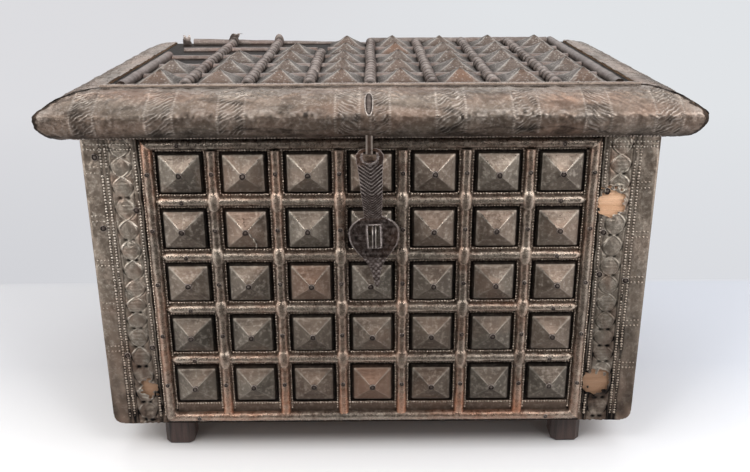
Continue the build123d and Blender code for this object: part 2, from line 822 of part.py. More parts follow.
lid_boss = make_boss(lid_boss_width, lid_boss_depth, lid_boss_plinth, lid_boss_rise, lid_boss_tip, 0)
kept_bosses = [
    (lid_column_place(c), lid_row_place(r))
    for c in range(lid_columns)
    for r in range(lid_rows)
    if (c, r) not in lost_bosses
]
with BuildPart(lid_plane) as lid_bosses:
    with Locations(*kept_bosses):
        add(lid_boss)
finish(lid_bosses, "lid_bosses")

rib_front = lid_board_front + rib_end_gap
rib_back = lid_frame_back - lid_frame_width / 2 - rib_end_gap
ring_pitch = lid_row_pitch / lid_rings_per_row


def lid_long_rib(back):
    """Ringed rib along X, as long as from the front lip back to the given place."""
    first = lid_frame_front + ring_pitch / 2
    rings = [first + n * ring_pitch for n in range(lid_rows * lid_rings_per_row)]
    middle = (rib_front + back) / 2
    kept = [y - middle for y in rings if rib_front + lid_ring_length < y < back - lid_ring_length]
    return make_knuckled_rib(
        back - rib_front, lid_rib_width, lid_rib_height, kept, lid_ring_length, lid_ring_radius
    )


whole_rib = lid_long_rib(rib_back)
short_rib = lid_long_rib(broken_rib_end)
bent_back = rib_back - flap_thickness - rib_end_gap
bend_start = bent_back - bent_end_length
bent_rib = lid_long_rib(bend_start)
torn_places = [lid_rib_place(r) for r in (0, 1)]
whole_places = [lid_rib_place(r) for r in range(3, lid_columns - 1)]
whole_middle = (rib_front + rib_back) / 2
short_middle = (rib_front + broken_rib_end) / 2
bent_middle = (rib_front + bend_start) / 2
with BuildPart(lid_plane) as lid_long_ribs:
    for x in whole_places:
        with Locations(Location((x, whole_middle, 0), (0, 0, 90))):
            add(whole_rib)
    with Locations(Location((lid_rib_place(2), short_middle, 0), (0, 0, 90))):
        add(short_rib)
    with Locations(*[Location((x, bent_middle, 0), (0, 0, 90)) for x in torn_places]):
        add(bent_rib)
    for x in torn_places:
        for y, height in ((bend_start, lid_rib_height), (bent_back, lid_rib_height + bent_end_rise)):
            with BuildSketch(Plane(origin=(x, y, panel_top), x_dir=(-1, 0, 0), z_dir=(0, 1, 0))):
                rib_section(lid_rib_width, height)
        loft()
finish(lid_long_ribs, "lid_long_ribs")

side_frame_back = lid_frame_back + lid_frame_width / 2
back_rib_start = rib_end_gap / 2
back_rib_end = lid_frame_x - lid_frame_width / 2 - rib_end_gap
back_rib_length = back_rib_end - back_rib_start
back_rib_middle = (back_rib_start + back_rib_end) / 2
right_frame_rib = make_straight_rib(side_frame_back - rib_front, lid_frame_width, lid_frame_height)
left_frame_rib = make_straight_rib(broken_frame_end - rib_front, lid_frame_width, lid_frame_height)
back_frame_rib = make_straight_rib(back_rib_length, lid_frame_width, lid_frame_height)
with BuildPart(lid_plane) as lid_frame_ribs:
    with Locations(Location((lid_frame_x, (side_frame_back + rib_front) / 2, 0), (0, 0, 90))):
        add(right_frame_rib)
    with Locations(Location((-lid_frame_x, (broken_frame_end + rib_front) / 2, 0), (0, 0, 90))):
        add(left_frame_rib)
    with Locations((back_rib_middle, lid_frame_back)):
        add(back_frame_rib)
    for x, height in ((-back_rib_end, lid_frame_height), (-back_rib_start, crushed_rail_height)):
        with BuildSketch(Plane(origin=(x, lid_frame_back, panel_top), x_dir=(0, 1, 0), z_dir=(1, 0, 0))):
            low_rib_section(lid_frame_width, height)
    loft()
finish(lid_frame_ribs, "lid_frame_ribs")

slat_length = lid_column_pitch - 2 * (lid_ring_radius + rib_end_gap)
with BuildPart() as slat:
    with BuildSketch(Plane.YZ.offset(-slat_length / 2)):
        low_rib_section(lid_slat_width, lid_slat_height)
    extrude(amount=slat_length)
with BuildPart(lid_plane) as lid_cross_slats:
    with Locations(
        *[
            (lid_column_place(c), lid_row_place(r) + lid_row_pitch / 2)
            for c in range(lid_columns)
            for r in range(lid_rows - 1)
        ]
    ):
        add(slat.part)
finish(lid_cross_slats, "lid_cross_slats")

flap_places = ((-lid_frame_x - flap_shift, lid_frame_back), (lid_rib_place(0), rib_back))
with BuildPart() as torn_flaps:
    for x, y in flap_places:
        with BuildSketch(Plane(origin=(x, y, panel_top), x_dir=(1, 0, 0), z_dir=(0, -1, 0))):
            with BuildLine():
                Polyline((-flap_width / 2, 0), (flap_width / 2, 0), (flap_tip_offset, flap_height),
                         (-flap_width / 2, 0))
            make_face()
        extrude(amount=flap_thickness)
finish(torn_flaps, "torn_flaps")


# ---------------------------------------------------------------- hasp, hanger, clench plate and lock staple
def hasp_outline():
    """One closed outline of the hasp, drawn downwards from its pivot at the local origin."""
    with BuildLine() as outline:
        for side in (-1, 1):
            crown = (side * hasp_crown_width / 2, -hasp_crown_drop)
            head = (side * hasp_head_width / 2, -hasp_head_drop)
            waist = (side * hasp_waist_width / 2, -hasp_waist_drop)
            neck = (side * hasp_neck_width / 2, -hasp_neck_drop)
            shoulder = (side * hasp_shoulder_width / 2, -hasp_shoulder_drop)
            disc = (side * hasp_disc_width / 2, -hasp_disc_drop)
            hip = (side * hasp_hip_width / 2, -hasp_hip_drop)
            tail = (side * hasp_tail_width / 2, -hasp_tail_drop)
            leaf = (side * hasp_leaf_width / 2, -hasp_leaf_drop)
            tip = (side * hasp_tip_width / 2, -hasp_tip_drop)
            Spline((0, hasp_rim / 2), crown, head)
            Polyline(head, waist, neck, shoulder)
            Spline(shoulder, disc, hip, tail)
            Spline(tail, leaf, tip)
        Line((-hasp_tip_width / 2, -hasp_tip_drop), (hasp_tip_width / 2, -hasp_tip_drop))
    make_face(outline.edges())


with BuildPart() as hasp:
    with BuildSketch(hasp_plane):
        hasp_outline()
        with Locations((0, -(hasp_rim + eye_length) / 2)):
            RectangleRounded(eye_width, eye_length, eye_corner_radius, mode=Mode.SUBTRACT)
        with Locations((0, -slot_drop)):
            RectangleRounded(slot_width, slot_length, slot_corner_radius, mode=Mode.SUBTRACT)
    extrude(amount=hasp_thickness / 2, both=True)
finish(hasp, "hasp")

hanger_inner_radius = hanger_gap / 2
hanger_outer_radius = hanger_inner_radius + hanger_thickness
with BuildPart() as hasp_hanger:
    with BuildSketch(Plane.YZ.offset(hasp_top_offset - hanger_width / 2)):
        with Locations((hasp_axis_y, hasp_axis_z)):
            Circle(hanger_outer_radius)
            Circle(hanger_inner_radius, mode=Mode.SUBTRACT)
        with Locations((hasp_axis_y, hasp_axis_z + hanger_outer_radius / 2)):
            Rectangle(2 * hanger_outer_radius, hanger_outer_radius, mode=Mode.SUBTRACT)
        with Locations(*[(y, (hasp_axis_z + hanger_top) / 2) for x, y in hanger_leg_places]):
            Rectangle(hanger_thickness, hanger_top - hasp_axis_z)
    extrude(amount=hanger_width)
finish(hasp_hanger, "hasp_hanger")

plate_low = (
    nose_centre[0] + moulding_nose_radius * math.cos(math.radians(plate_low_angle)),
    nose_centre[1] + moulding_nose_radius * math.sin(math.radians(plate_low_angle)),
)
plate_high = (
    plate_high_reach,
    shoulder_centre[1] + math.sqrt(shoulder_radius**2 - (plate_high_reach - shoulder_centre[0]) ** 2),
)
plate_length = math.dist(plate_low, plate_high)
plate_slope = (
    (plate_low[0] - plate_high[0]) / plate_length,
    (plate_low[1] - plate_high[1]) / plate_length,
)
plate_plane = Plane(
    origin=(
        hasp_top_offset,
        front_face - (plate_low[0] + plate_high[0]) / 2,
        (plate_low[1] + plate_high[1]) / 2,
    ),
    x_dir=(0, -plate_slope[0], plate_slope[1]),
    z_dir=(0, plate_slope[1], plate_slope[0]),
)


def raised_band(rise):
    """Band of the given thickness lying on the outside of the front moulding."""
    moulding_outline(-rise)
    moulding_outline(0, Mode.SUBTRACT)


with BuildPart() as plate_tongue:
    with BuildSketch(front_rail_plane):
        raised_band(plate_tongue_rise)
    extrude(amount=plate_width, both=True)
    with BuildSketch(plate_plane):
        SlotOverall(plate_length - plate_rim, plate_width - plate_rim)
    extrude(amount=plate_depth, both=True, mode=Mode.INTERSECT)

with BuildPart() as hasp_clench_plate:
    with BuildSketch(front_rail_plane):
        raised_band(plate_rise)
    extrude(amount=plate_width, both=True)
    with BuildSketch(plate_plane):
        SlotOverall(plate_length, plate_width)
        SlotOverall(plate_length - 2 * plate_rim, plate_width - 2 * plate_rim, mode=Mode.SUBTRACT)
    extrude(amount=plate_depth, both=True, mode=Mode.INTERSECT)
    add(plate_tongue.part)
finish(hasp_clench_plate, "hasp_clench_plate")

staple_front = front_face - staple_reach
staple_inside = front_face + sheet_thickness + board_thickness
staple_middle_y = (staple_front + staple_inside) / 2
staple_depth = staple_inside - staple_front
with BuildPart() as lock_staple:
    clench_reach = staple_height / 2 - staple_bar + staple_clench / 2
    with BuildSketch(Plane.YZ.offset(slot_centre.X - staple_width / 2)):
        with BuildSketch(mode=Mode.PRIVATE) as loop:
            with Locations((staple_middle_y, slot_centre.Z)):
                Rectangle(staple_depth, staple_height)
            fillet(loop.vertices().group_by(Axis.X)[0], staple_corner_radius)
        with BuildSketch(mode=Mode.PRIVATE) as hollow:
            with Locations((staple_middle_y + staple_bar / 2, slot_centre.Z)):
                Rectangle(staple_depth - staple_bar, staple_height - 2 * staple_bar)
            fillet(hollow.vertices().group_by(Axis.X)[0], staple_corner_radius - staple_bar)
        add(loop.sketch)
        add(hollow.sketch, mode=Mode.SUBTRACT)
        for side in (-1, 1):
            with Locations((staple_inside + staple_bar / 2, slot_centre.Z + side * clench_reach)):
                Rectangle(staple_bar, staple_clench)
    extrude(amount=staple_width)
finish(lock_staple, "lock_staple")


# ---------------------------------------------------------------- hinges
def hinge_knuckle(first_x, wing_middle, wing_size):
    """One rolled knuckle with the piece of strap that runs into it."""
    with BuildSketch(Plane.YZ.offset(first_x)) as section:
        with Locations((hinge_y, hinge_z)):
            Circle(hinge_knuckle_radius)
        with Locations(wing_middle):
            Rectangle(*wing_size)
        with Locations((hinge_y, hinge_z)):
            Circle(hinge_pin_radius + pin_clearance, mode=Mode.SUBTRACT)
    extrude(section.sketch, amount=hinge_knuckle_length - knuckle_gap)


def pointed_strap(length, width):
    """Outline of a strap from the local origin down, ending in a blunt point."""
    with BuildLine() as outline:
        Polyline((-width / 2, 0), (width / 2, 0), (width / 2, strap_point_length - length),
                 (strap_tip_width / 2, -length), (-strap_tip_width / 2, -length),
                 (-width / 2, strap_point_length - length), (-width / 2, 0))
    make_face(outline.edges())


wing_reach = hinge_knuckle_radius + knuckle_gap
strap_start = wing_reach
for name, x in (("left", hinge_places[0]), ("right", hinge_places[1])):
    body_strap_plane = Plane(
        origin=(x, back_board_face, hinge_z - strap_start), x_dir=(-1, 0, 0), z_dir=(0, 1, 0)
    )
    with BuildPart() as body_strap:
        with BuildSketch(body_strap_plane):
            pointed_strap(body_strap_length - strap_start, hinge_width)
        extrude(amount=strap_thickness)
        for first_x in (x - hinge_width / 2, x + hinge_knuckle_length / 2 + knuckle_gap):
            hinge_knuckle(first_x, (back_board_face + strap_thickness / 2, hinge_z - wing_reach / 2),
                          (strap_thickness, wing_reach))
        nail_holes(carcass_back_plane.offset(strap_thickness), body_strap_nail_places, strap_thickness)
    finish(body_strap, f"body_hinge_{name}")

    lid_strap_plane = Plane(origin=(x, hinge_y - strap_start, lid_bottom), x_dir=(1, 0, 0), z_dir=(0, 0, 1))
    with BuildPart() as lid_strap:
        with BuildSketch(lid_strap_plane):
            pointed_strap(lid_strap_length - strap_start, hinge_width)
        extrude(amount=-strap_thickness)
        hinge_knuckle(x - (hinge_knuckle_length - knuckle_gap) / 2,
                      (hinge_y - wing_reach / 2, lid_bottom - strap_thickness / 2),
                      (wing_reach, strap_thickness))
        nail_holes(Plane.XY.offset(lid_bottom), lid_strap_nail_places, strap_thickness)
    finish(lid_strap, f"lid_hinge_{name}")

with BuildPart() as hinge_pins:
    for x in hinge_places:
        with BuildSketch(Plane.YZ.offset(x - hinge_width / 2 - pin_head_length)):
            with Locations((hinge_y, hinge_z)):
                Circle(hinge_pin_radius)
        extrude(amount=hinge_width + 2 * pin_head_length)
        head_offset = hinge_width / 2 + knuckle_gap
        for first_x in (x - head_offset - pin_head_length, x + head_offset):
            with BuildSketch(Plane.YZ.offset(first_x)):
                with Locations((hinge_y, hinge_z)):
                    Circle(pin_head_radius)
            extrude(amount=pin_head_length)
finish(hinge_pins, "hinge_pins")

strap_nail_length = strap_thickness + nail_bite
body_strap_nail_plane = carcass_back_plane.offset(strap_thickness)
body_strap_nails = nails_at(body_strap_nail_plane, body_strap_nail_places, stud_nail_radius, stud_nail_rise,
                            strap_nail_length)
finish(body_strap_nails, "body_hinge_nails")
lid_strap_nail_plane = Plane(origin=(0, 0, lid_bottom - strap_thickness), x_dir=(1, 0, 0), z_dir=(0, 0, -1))
lid_strap_nails = nails_at(lid_strap_nail_plane, [(x, -y) for x, y in lid_strap_nail_places],
                           stud_nail_radius, stud_nail_rise, strap_nail_length)
finish(lid_strap_nails, "lid_hinge_nails")


# ---------------------------------------------------------------- one labelled file for each piece
whole_size = Compound(list(finished_pieces.values())).bounding_box()
origin_shift = Pos(0, -(whole_size.min.Y + whole_size.max.Y) / 2, 0)
os.makedirs("parts", exist_ok=True)
for name, piece in finished_pieces.items():
    centred_piece = origin_shift * piece
    centred_piece.label = name
    export_step(centred_piece, f"parts/{name}.step")
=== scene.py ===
import math
import random

import bpy
import numpy as np
from mathutils import Matrix, Vector


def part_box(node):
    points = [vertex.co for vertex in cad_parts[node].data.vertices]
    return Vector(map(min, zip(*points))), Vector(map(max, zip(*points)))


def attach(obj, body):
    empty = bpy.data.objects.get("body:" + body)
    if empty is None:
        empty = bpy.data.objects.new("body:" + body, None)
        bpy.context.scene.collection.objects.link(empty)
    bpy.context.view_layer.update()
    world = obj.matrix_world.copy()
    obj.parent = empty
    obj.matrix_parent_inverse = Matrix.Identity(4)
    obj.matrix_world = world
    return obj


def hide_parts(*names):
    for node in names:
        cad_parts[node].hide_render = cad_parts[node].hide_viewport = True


# Metal-clad dowry chest. Shapes are worked out in millimetres and written in metres.
MM = 0.001

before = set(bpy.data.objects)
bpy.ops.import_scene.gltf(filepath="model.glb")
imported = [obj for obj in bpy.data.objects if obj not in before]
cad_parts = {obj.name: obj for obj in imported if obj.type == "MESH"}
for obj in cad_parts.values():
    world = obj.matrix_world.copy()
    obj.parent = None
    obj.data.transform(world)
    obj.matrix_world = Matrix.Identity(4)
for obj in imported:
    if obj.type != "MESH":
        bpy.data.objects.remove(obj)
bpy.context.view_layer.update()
scene = bpy.context.scene

# ---------------------------------------------------------------- places shared with the solids (mm)
shift_y = 1000 * (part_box("front_board")[0][1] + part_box("back_board")[1][1]) / 2
front_y = shift_y - 158.0
body_bottom, body_top = 31.0, 302.0
body_height = body_top - body_bottom
side_x = 240.0
column_pitch, row_pitch = 53.0, 49.4
rib_h = 7.0
top_rib, bottom_rib = 265.3, 8.5
first_row = 240.8
stud_rows = 5
tube_w, flange_edge, bead_line = 8.8, 6.2, 5.35
knuckle_l, knuckle_swell = 15.5, 1.40
boss_w, boss_h, boss_plinth, boss_rise, boss_seat = 36.5, 34.5, 4.5, 12.0, 3.4
lid_bottom, rail_top, panel_top = 302.3, 340.8, 338.5
lid_columns, lid_rows = 8, 5
lid_column_pitch, lid_row_pitch = 51.6, 58.2
lid_rib_w, lid_rib_h = 9.6, 6.8
lid_mid_y = shift_y + 2.4
lid_back_y = lid_mid_y + 145.5
lid_front_y = front_y + 17.0
lost_bosses = ((0, 2), (0, 3), (0, 4), (1, 3), (1, 4), (2, 4))
hasp_x, hasp_y, hasp_z, hasp_lean = -1.4, shift_y - 173.9, 294.5, math.radians(2.8)


def flat_face(origin, right, up, out):
    """A flat face of the chest: an origin and three directions of its own."""
    return tuple(Vector(part) for part in (origin, right, up, out))


FRONT = flat_face((0, front_y, body_bottom), (1, 0, 0), (0, 0, 1), (0, -1, 0))
LEFT = flat_face((-side_x, shift_y, body_bottom), (0, -1, 0), (0, 0, 1), (-1, 0, 0))
RIGHT = flat_face((side_x, shift_y, body_bottom), (0, 1, 0), (0, 0, 1), (1, 0, 0))
LID = flat_face((0, 0, panel_top), (1, 0, 0), (0, 1, 0), (0, 0, 1))
RAIL_TOP = flat_face((0, 0, rail_top), (1, 0, 0), (0, 1, 0), (0, 0, 1))


# ---------------------------------------------------------------- numbers
def unit(x):
    """Kept between 0 and 1."""
    return np.clip(x, 0, 1)


def bell(x, middle, width):
    """1 at the middle, falling smoothly to 0 on both sides."""
    return np.exp(-(((x - middle) / width) ** 2))


def waves(seed, count, low, high):
    """A smooth random field of two coordinates, about -1 to 1, with wavelengths between low and high."""
    rng = np.random.default_rng(seed)
    angle = rng.uniform(0, 2 * np.pi, count)
    length = np.exp(rng.uniform(np.log(low), np.log(high), count))
    phase = rng.uniform(0, 2 * np.pi, count)
    ku, kv = 2 * np.pi / length * np.cos(angle), 2 * np.pi / length * np.sin(angle)

    def field(u, v):
        total = np.zeros(np.broadcast(u, v).shape)
        for a, b, p in zip(ku, kv, phase):
            total = total + np.sin(a * u + b * v + p)
        return total / math.sqrt(count) / 1.2

    return field


def place(face, u, v, w):
    """Points of a face's own coordinates in the shared frame."""
    origin, right, up, out = (np.array(part) for part in face)
    u, v, w = (value[..., None] for value in np.broadcast_arrays(*(np.asarray(x, float) for x in (u, v, w))))
    return origin + u * right + v * up + w * out


def line_between(start, end):
    """Start, end, length, direction along and direction across."""
    start, end = np.array(start, float), np.array(end, float)
    length = float(np.linalg.norm(end - start))
    along = (end - start) / length
    return start, end, length, along, np.array([-along[1], along[0]])


# ---------------------------------------------------------------- mesh collector
class Piece:
    """Collects grids of points with three tone values: wear with painted highlight, grime with painted shade,
    and copper.
    """

    def __init__(self):
        self.verts, self.faces, self.tone = [], [], []
        self.count = 0

    def points(self, pts, *tones):
        """Adds points. A tone is one value for all of them or a value for each."""
        pts = np.asarray(pts, float).reshape(-1, 3)
        tone = np.ones((len(pts), 4))
        for channel, value in enumerate(tones):
            tone[:, channel] = np.ravel(value)
        start = self.count
        self.verts.append(pts)
        self.tone.append(tone)
        self.count += len(pts)
        return start

    def grid(self, pts, wear=0.0, grime_and_shade=0.0, copper=0.0, ring=False, flip=False):
        """A grid of rows and columns; ring joins the last column to the first."""
        rows, cols = pts.shape[:2]
        index = self.points(pts, wear, grime_and_shade, copper) + np.arange(rows * cols).reshape(rows, cols)
        nxt = np.roll(index, -1, axis=1) if ring else index[:, 1:]
        cur = index if ring else index[:, :-1]
        quads = np.stack([cur[:-1], nxt[:-1], nxt[1:], cur[1:]], axis=-1).reshape(-1, 4)
        self.faces.append(quads[:, ::-1] if flip else quads)
        return index

    def cap(self, loop, flip=False):
        self.faces.append([loop[::-1] if flip else loop])

    def rings(self, rings, copper):
        """Closed rings of points, each with its wear and painted highlight, its grime and painted shade, and
        a cap on the last.
        """
        pts, wear, grime_and_shade = zip(*rings)
        wear, grime_and_shade = (np.array([np.broadcast_to(x, len(pts[0])) for x in tone]) for tone in (wear, grime_and_shade))
        self.cap(self.grid(np.array(pts), wear, grime_and_shade, copper, ring=True)[-1])

    def build(self, name, material, body, *replaced):
        """Makes the mesh, lets it ride on its body and hides the CAD nodes that it stands in for."""
        mesh = bpy.data.meshes.new(name)
        faces = [face for block in self.faces for face in np.asarray(block).tolist()]
        mesh.from_pydata((np.concatenate(self.verts) * MM).tolist(), [], faces)
        attribute = mesh.color_attributes.new("tone", "FLOAT_COLOR", "POINT")
        attribute.data.foreach_set("color", np.concatenate(self.tone).ravel())
        mesh.polygons.foreach_set("use_smooth", [True] * len(mesh.polygons))
        mesh.materials.append(material)
        mesh.update()
        piece = bpy.data.objects.new(name, mesh)
        scene.collection.objects.link(piece)
        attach(piece, body)
        if replaced:
            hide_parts(*replaced)


# ---------------------------------------------------------------- materials
class Nodes:
    """The node tree of a material or a world, with short ways to add nodes and join them."""

    def __init__(self, owner, kind):
        owner.use_nodes = True
        self.tree = owner.node_tree
        self.tree.nodes.clear()
        self.output = self.add("Output" + kind)

    def add(self, kind, inputs=None, **settings):
        node = self.tree.nodes.new("ShaderNode" + kind)
        for name, value in settings.items():
            setattr(node, name, value)
        for name, value in (inputs or {}).items():
            self.feed(node.inputs[name], value)
        return node

    def feed(self, socket, value):
        """Gives an input another node's output, a colour or a number."""
        if isinstance(value, bpy.types.NodeSocket):
            self.tree.links.new(value, socket)
        elif socket.type == "RGBA":
            socket.default_value = (*value, 1.0)
        else:
            socket.default_value = value

    def finish(self, shader):
        self.feed(self.output.inputs["Surface"], shader.outputs[0])

    def spot(self, kind="Object"):
        return self.add("TexCoord").outputs[kind]

    def split(self, kind="Object"):
        """The X, Y and Z of a spot."""
        return self.add("SeparateXYZ", {"Vector": self.spot(kind)}).outputs

    def noise(self, scale, detail, rough, stretch=(1, 1, 1)):
        mapping = self.add("Mapping", {"Vector": self.spot(), "Scale": stretch})
        texture = self.add("TexNoise", {"Vector": mapping.outputs["Vector"], "Scale": scale, "Detail": detail,
                                        "Roughness": rough})
        return texture.outputs["Fac"]

    def cells(self, scale):
        return self.add("TexVoronoi", {"Vector": self.spot(), "Scale": scale}).outputs["Distance"]

    def ramp(self, value, low, high, low_out=0.0, high_out=1.0):
        node = self.add("MapRange", {"Value": value, "From Min": low, "From Max": high, "To Min": low_out,
                                     "To Max": high_out})
        return node.outputs["Result"]

    def math(self, operation, a, b=0.0):
        return self.add("Math", {0: a, 1: b}, operation=operation).outputs["Value"]

    def plus(self, a, b):
        return self.math("ADD", a, b)

    def times(self, a, b):
        return self.math("MULTIPLY", a, b)

    def blend(self, factor, a, b):
        mix = self.add("Mix", {"Factor": factor, "A": a, "B": b}, data_type="RGBA", clamp_factor=True)
        return mix.outputs["Result"]

    def relief(self, height, strength, distance):
        node = self.add("Bump", {"Height": height, "Strength": strength, "Distance": distance})
        return node.outputs["Normal"]


# Near-black for grime and for painted shade.
grime_and_shade_black = (0.006, 0.0045, 0.004)
metalness = 0.8


def metal(name, dark, middle, bright, copper, rough, bump=0.25, grain=900.0, stipple=0.0, dots=0.0,
          edge=None):
    """Old embossed sheet metal: patina, worn edges with painted highlights, dirt and painted shade in the
    hollows, a little copper.

    Edge paints a highlight down both sides of a narrow bar: the bar's middle, where the highlight starts and
    stops, its colour.
    """
    material = bpy.data.materials.new(name)
    n = Nodes(material, "Material")
    tone = n.add("Attribute", attribute_name="tone").outputs["Color"]
    wear, grime_and_shade, warm = n.add("SeparateColor", {"Color": tone}).outputs
    fine = n.noise(260.0, 6.0, 0.7)
    scratch = n.noise(120.0, 4.0, 0.6, (1.0, 1.0, 7.0))
    colour = n.blend(n.ramp(n.noise(22.0, 5.0, 0.6), 0.35, 0.65), dark, middle)
    colour = n.blend(n.ramp(fine, 0.5, 0.75, 0.0, 0.6), colour, bright)
    tarnish = n.ramp(n.noise(14.0, 3.0, 0.5), 0.56, 0.74, 0.0, 0.35)
    colour = n.blend(n.plus(warm, tarnish), colour, copper)
    if dots > 0:
        colour = n.blend(n.ramp(n.cells(330.0), 0.36, 0.18, 0.0, dots), colour, bright)
    colour = n.blend(n.times(wear, n.ramp(scratch, 0.3, 0.6, 0.55, 1.0)), colour, bright)
    colour = n.blend(n.times(grime_and_shade, n.ramp(fine, 0.2, 0.6, 1.0, 0.8)), colour, grime_and_shade_black)
    # A painted highlight down both sides of a narrow bar.
    if edge:
        bar_middle, start, stop, glint = edge
        x, _, _ = n.split()
        offset = n.math("ABSOLUTE", n.math("SUBTRACT", x, bar_middle))
        colour = n.blend(n.ramp(offset, start, stop), colour, glint)
    roughness = n.plus(n.ramp(fine, 0.3, 0.7, rough - 0.1, rough + 0.14), n.times(grime_and_shade, 0.4))
    roughness = n.math("SUBTRACT", roughness, n.times(wear, 0.12))
    height = n.plus(n.times(n.noise(grain, 3.0, 0.6), 0.5), n.times(scratch, 0.6))
    if stipple > 0:
        height = n.plus(height, n.times(n.cells(620.0), stipple))
    n.finish(n.add("BsdfPrincipled", {"Base Color": colour, "Metallic": metalness, "Roughness": roughness,
                                      "Normal": n.relief(height, bump, 0.0012)}))
    return material


def wood(name, light, dark, rough=0.75, along="X", stained=0.5, darkening=None):
    """Open-grained timber with long streaks; darkening gives the heights and depths where it gets darker."""
    material = bpy.data.materials.new(name)
    n = Nodes(material, "Material")
    stretch = {"X": (0.6, 9.0, 9.0), "Z": (9.0, 9.0, 0.6)}[along]
    grain = n.noise(26.0, 7.0, 0.65, stretch)
    pores = n.noise(160.0, 5.0, 0.7, stretch)

    def darker(share):
        return tuple(share * c for c in dark)

    colour = n.blend(n.ramp(grain, 0.35, 0.65), dark, light)
    colour = n.blend(n.ramp(pores, 0.55, 0.75, 0.0, 0.55), colour, darker(0.35))
    colour = n.blend(n.ramp(n.noise(9.0, 4.0, 0.6), 0.45, 0.7, 0.0, stained), colour, darker(0.5))
    if darkening:
        low, deep = darkening
        _, y, z = n.split()
        colour = n.blend(n.ramp(z, *low, 0.0, 0.8), colour, darker(0.26))
        colour = n.blend(n.ramp(y, *deep, 0.0, 0.75), colour, darker(0.35))
    n.finish(n.add("BsdfPrincipled", {"Base Color": colour,
                                      "Roughness": n.ramp(grain, 0.2, 0.8, rough - 0.1, rough + 0.1),
                                      "Normal": n.relief(n.plus(grain, n.times(pores, 0.6)), 0.5, 0.0015)}))
    return material


# Each metal has a dark, a middle, a bright and a copper colour, then its roughness.
stud_metal = metal("stud_metal", (0.085, 0.071, 0.058), (0.215, 0.182, 0.148), (0.72, 0.65, 0.56),
                   (0.38, 0.20, 0.13), 0.32, bump=0.35)
rib_metal = metal("rib_metal", (0.09, 0.07, 0.057), (0.215, 0.165, 0.132), (0.72, 0.63, 0.53),
                  (0.42, 0.20, 0.12), 0.29, bump=0.3)
border_metal = metal("border_metal", (0.215, 0.18, 0.145), (0.35, 0.297, 0.245), (0.78, 0.72, 0.63),
                     (0.34, 0.20, 0.14), 0.37, bump=0.35)
moulding_metal = metal("moulding_metal", (0.168, 0.132, 0.105), (0.315, 0.255, 0.208), (0.82, 0.74, 0.67),
                       (0.40, 0.24, 0.17), 0.29, bump=0.4, grain=700.0)
lid_metal = metal("lid_metal", (0.082, 0.070, 0.062), (0.185, 0.163, 0.147), (0.66, 0.61, 0.56),
                  (0.27, 0.16, 0.11), 0.42, bump=0.6, stipple=1.6, dots=0.5)
lid_rib_metal = metal("lid_rib_metal", (0.10, 0.082, 0.073), (0.225, 0.187, 0.168), (0.55, 0.49, 0.46),
                      (0.24, 0.13, 0.10), 0.40, bump=0.5)
# Near-black metal for the sheets seen only between the bosses: painted shade.
shade_black_metal = metal("shade_black_metal", (0.008, 0.006, 0.005), (0.022, 0.015, 0.012), (0.08, 0.062, 0.05),
                   (0.10, 0.05, 0.03), 0.65)
hasp_iron = metal("hasp_iron", (0.026, 0.019, 0.019), (0.058, 0.044, 0.043), (0.62, 0.55, 0.53),
                  (0.42, 0.22, 0.13), 0.36, bump=0.5, stipple=0.5)
nail_iron = metal("nail_iron", (0.06, 0.047, 0.042), (0.12, 0.095, 0.085), (0.62, 0.55, 0.5),
                  (0.22, 0.11, 0.08), 0.38)
inner_wood = wood("inner_wood", (0.42, 0.26, 0.14), (0.20, 0.11, 0.055))
back_wood = wood("back_wood", (0.30, 0.18, 0.10), (0.13, 0.072, 0.038))
foot_wood = wood("foot_wood", (0.075, 0.045, 0.038), (0.012, 0.007, 0.006), rough=0.6, along="Z")
bare_wood = wood("bare_wood", (0.95, 0.61, 0.40), (0.70, 0.39, 0.22), stained=0.25,
                 darkening=((0.14, 0.075), ((front_y + 2.0) * MM, (front_y + 3.5) * MM)))
# The staple and the hanger take a painted highlight down both sides (edge).
staple_iron = metal("staple_iron", (0.03, 0.024, 0.024), (0.07, 0.056, 0.056), (0.3, 0.26, 0.25),
                    (0.2, 0.1, 0.08), 0.34, edge=(0.0022, 0.0007, 0.0011, (0.75, 0.68, 0.62)))
hanger_iron = metal("hanger_iron", (0.05, 0.04, 0.036), (0.11, 0.09, 0.08), (0.4, 0.35, 0.32),
                    (0.3, 0.16, 0.1), 0.34, edge=(-0.0014, 0.0010, 0.0019, (0.62, 0.53, 0.47)))


# ---------------------------------------------------------------- shapes that repeat
boss_sides = (-1.0, -0.95, -0.84, -0.55, -0.2, 0.2, 0.55, 0.84, 0.95)
slope_shares = (0.955, 0.88, 0.76, 0.6, 0.44, 0.3, 0.18)


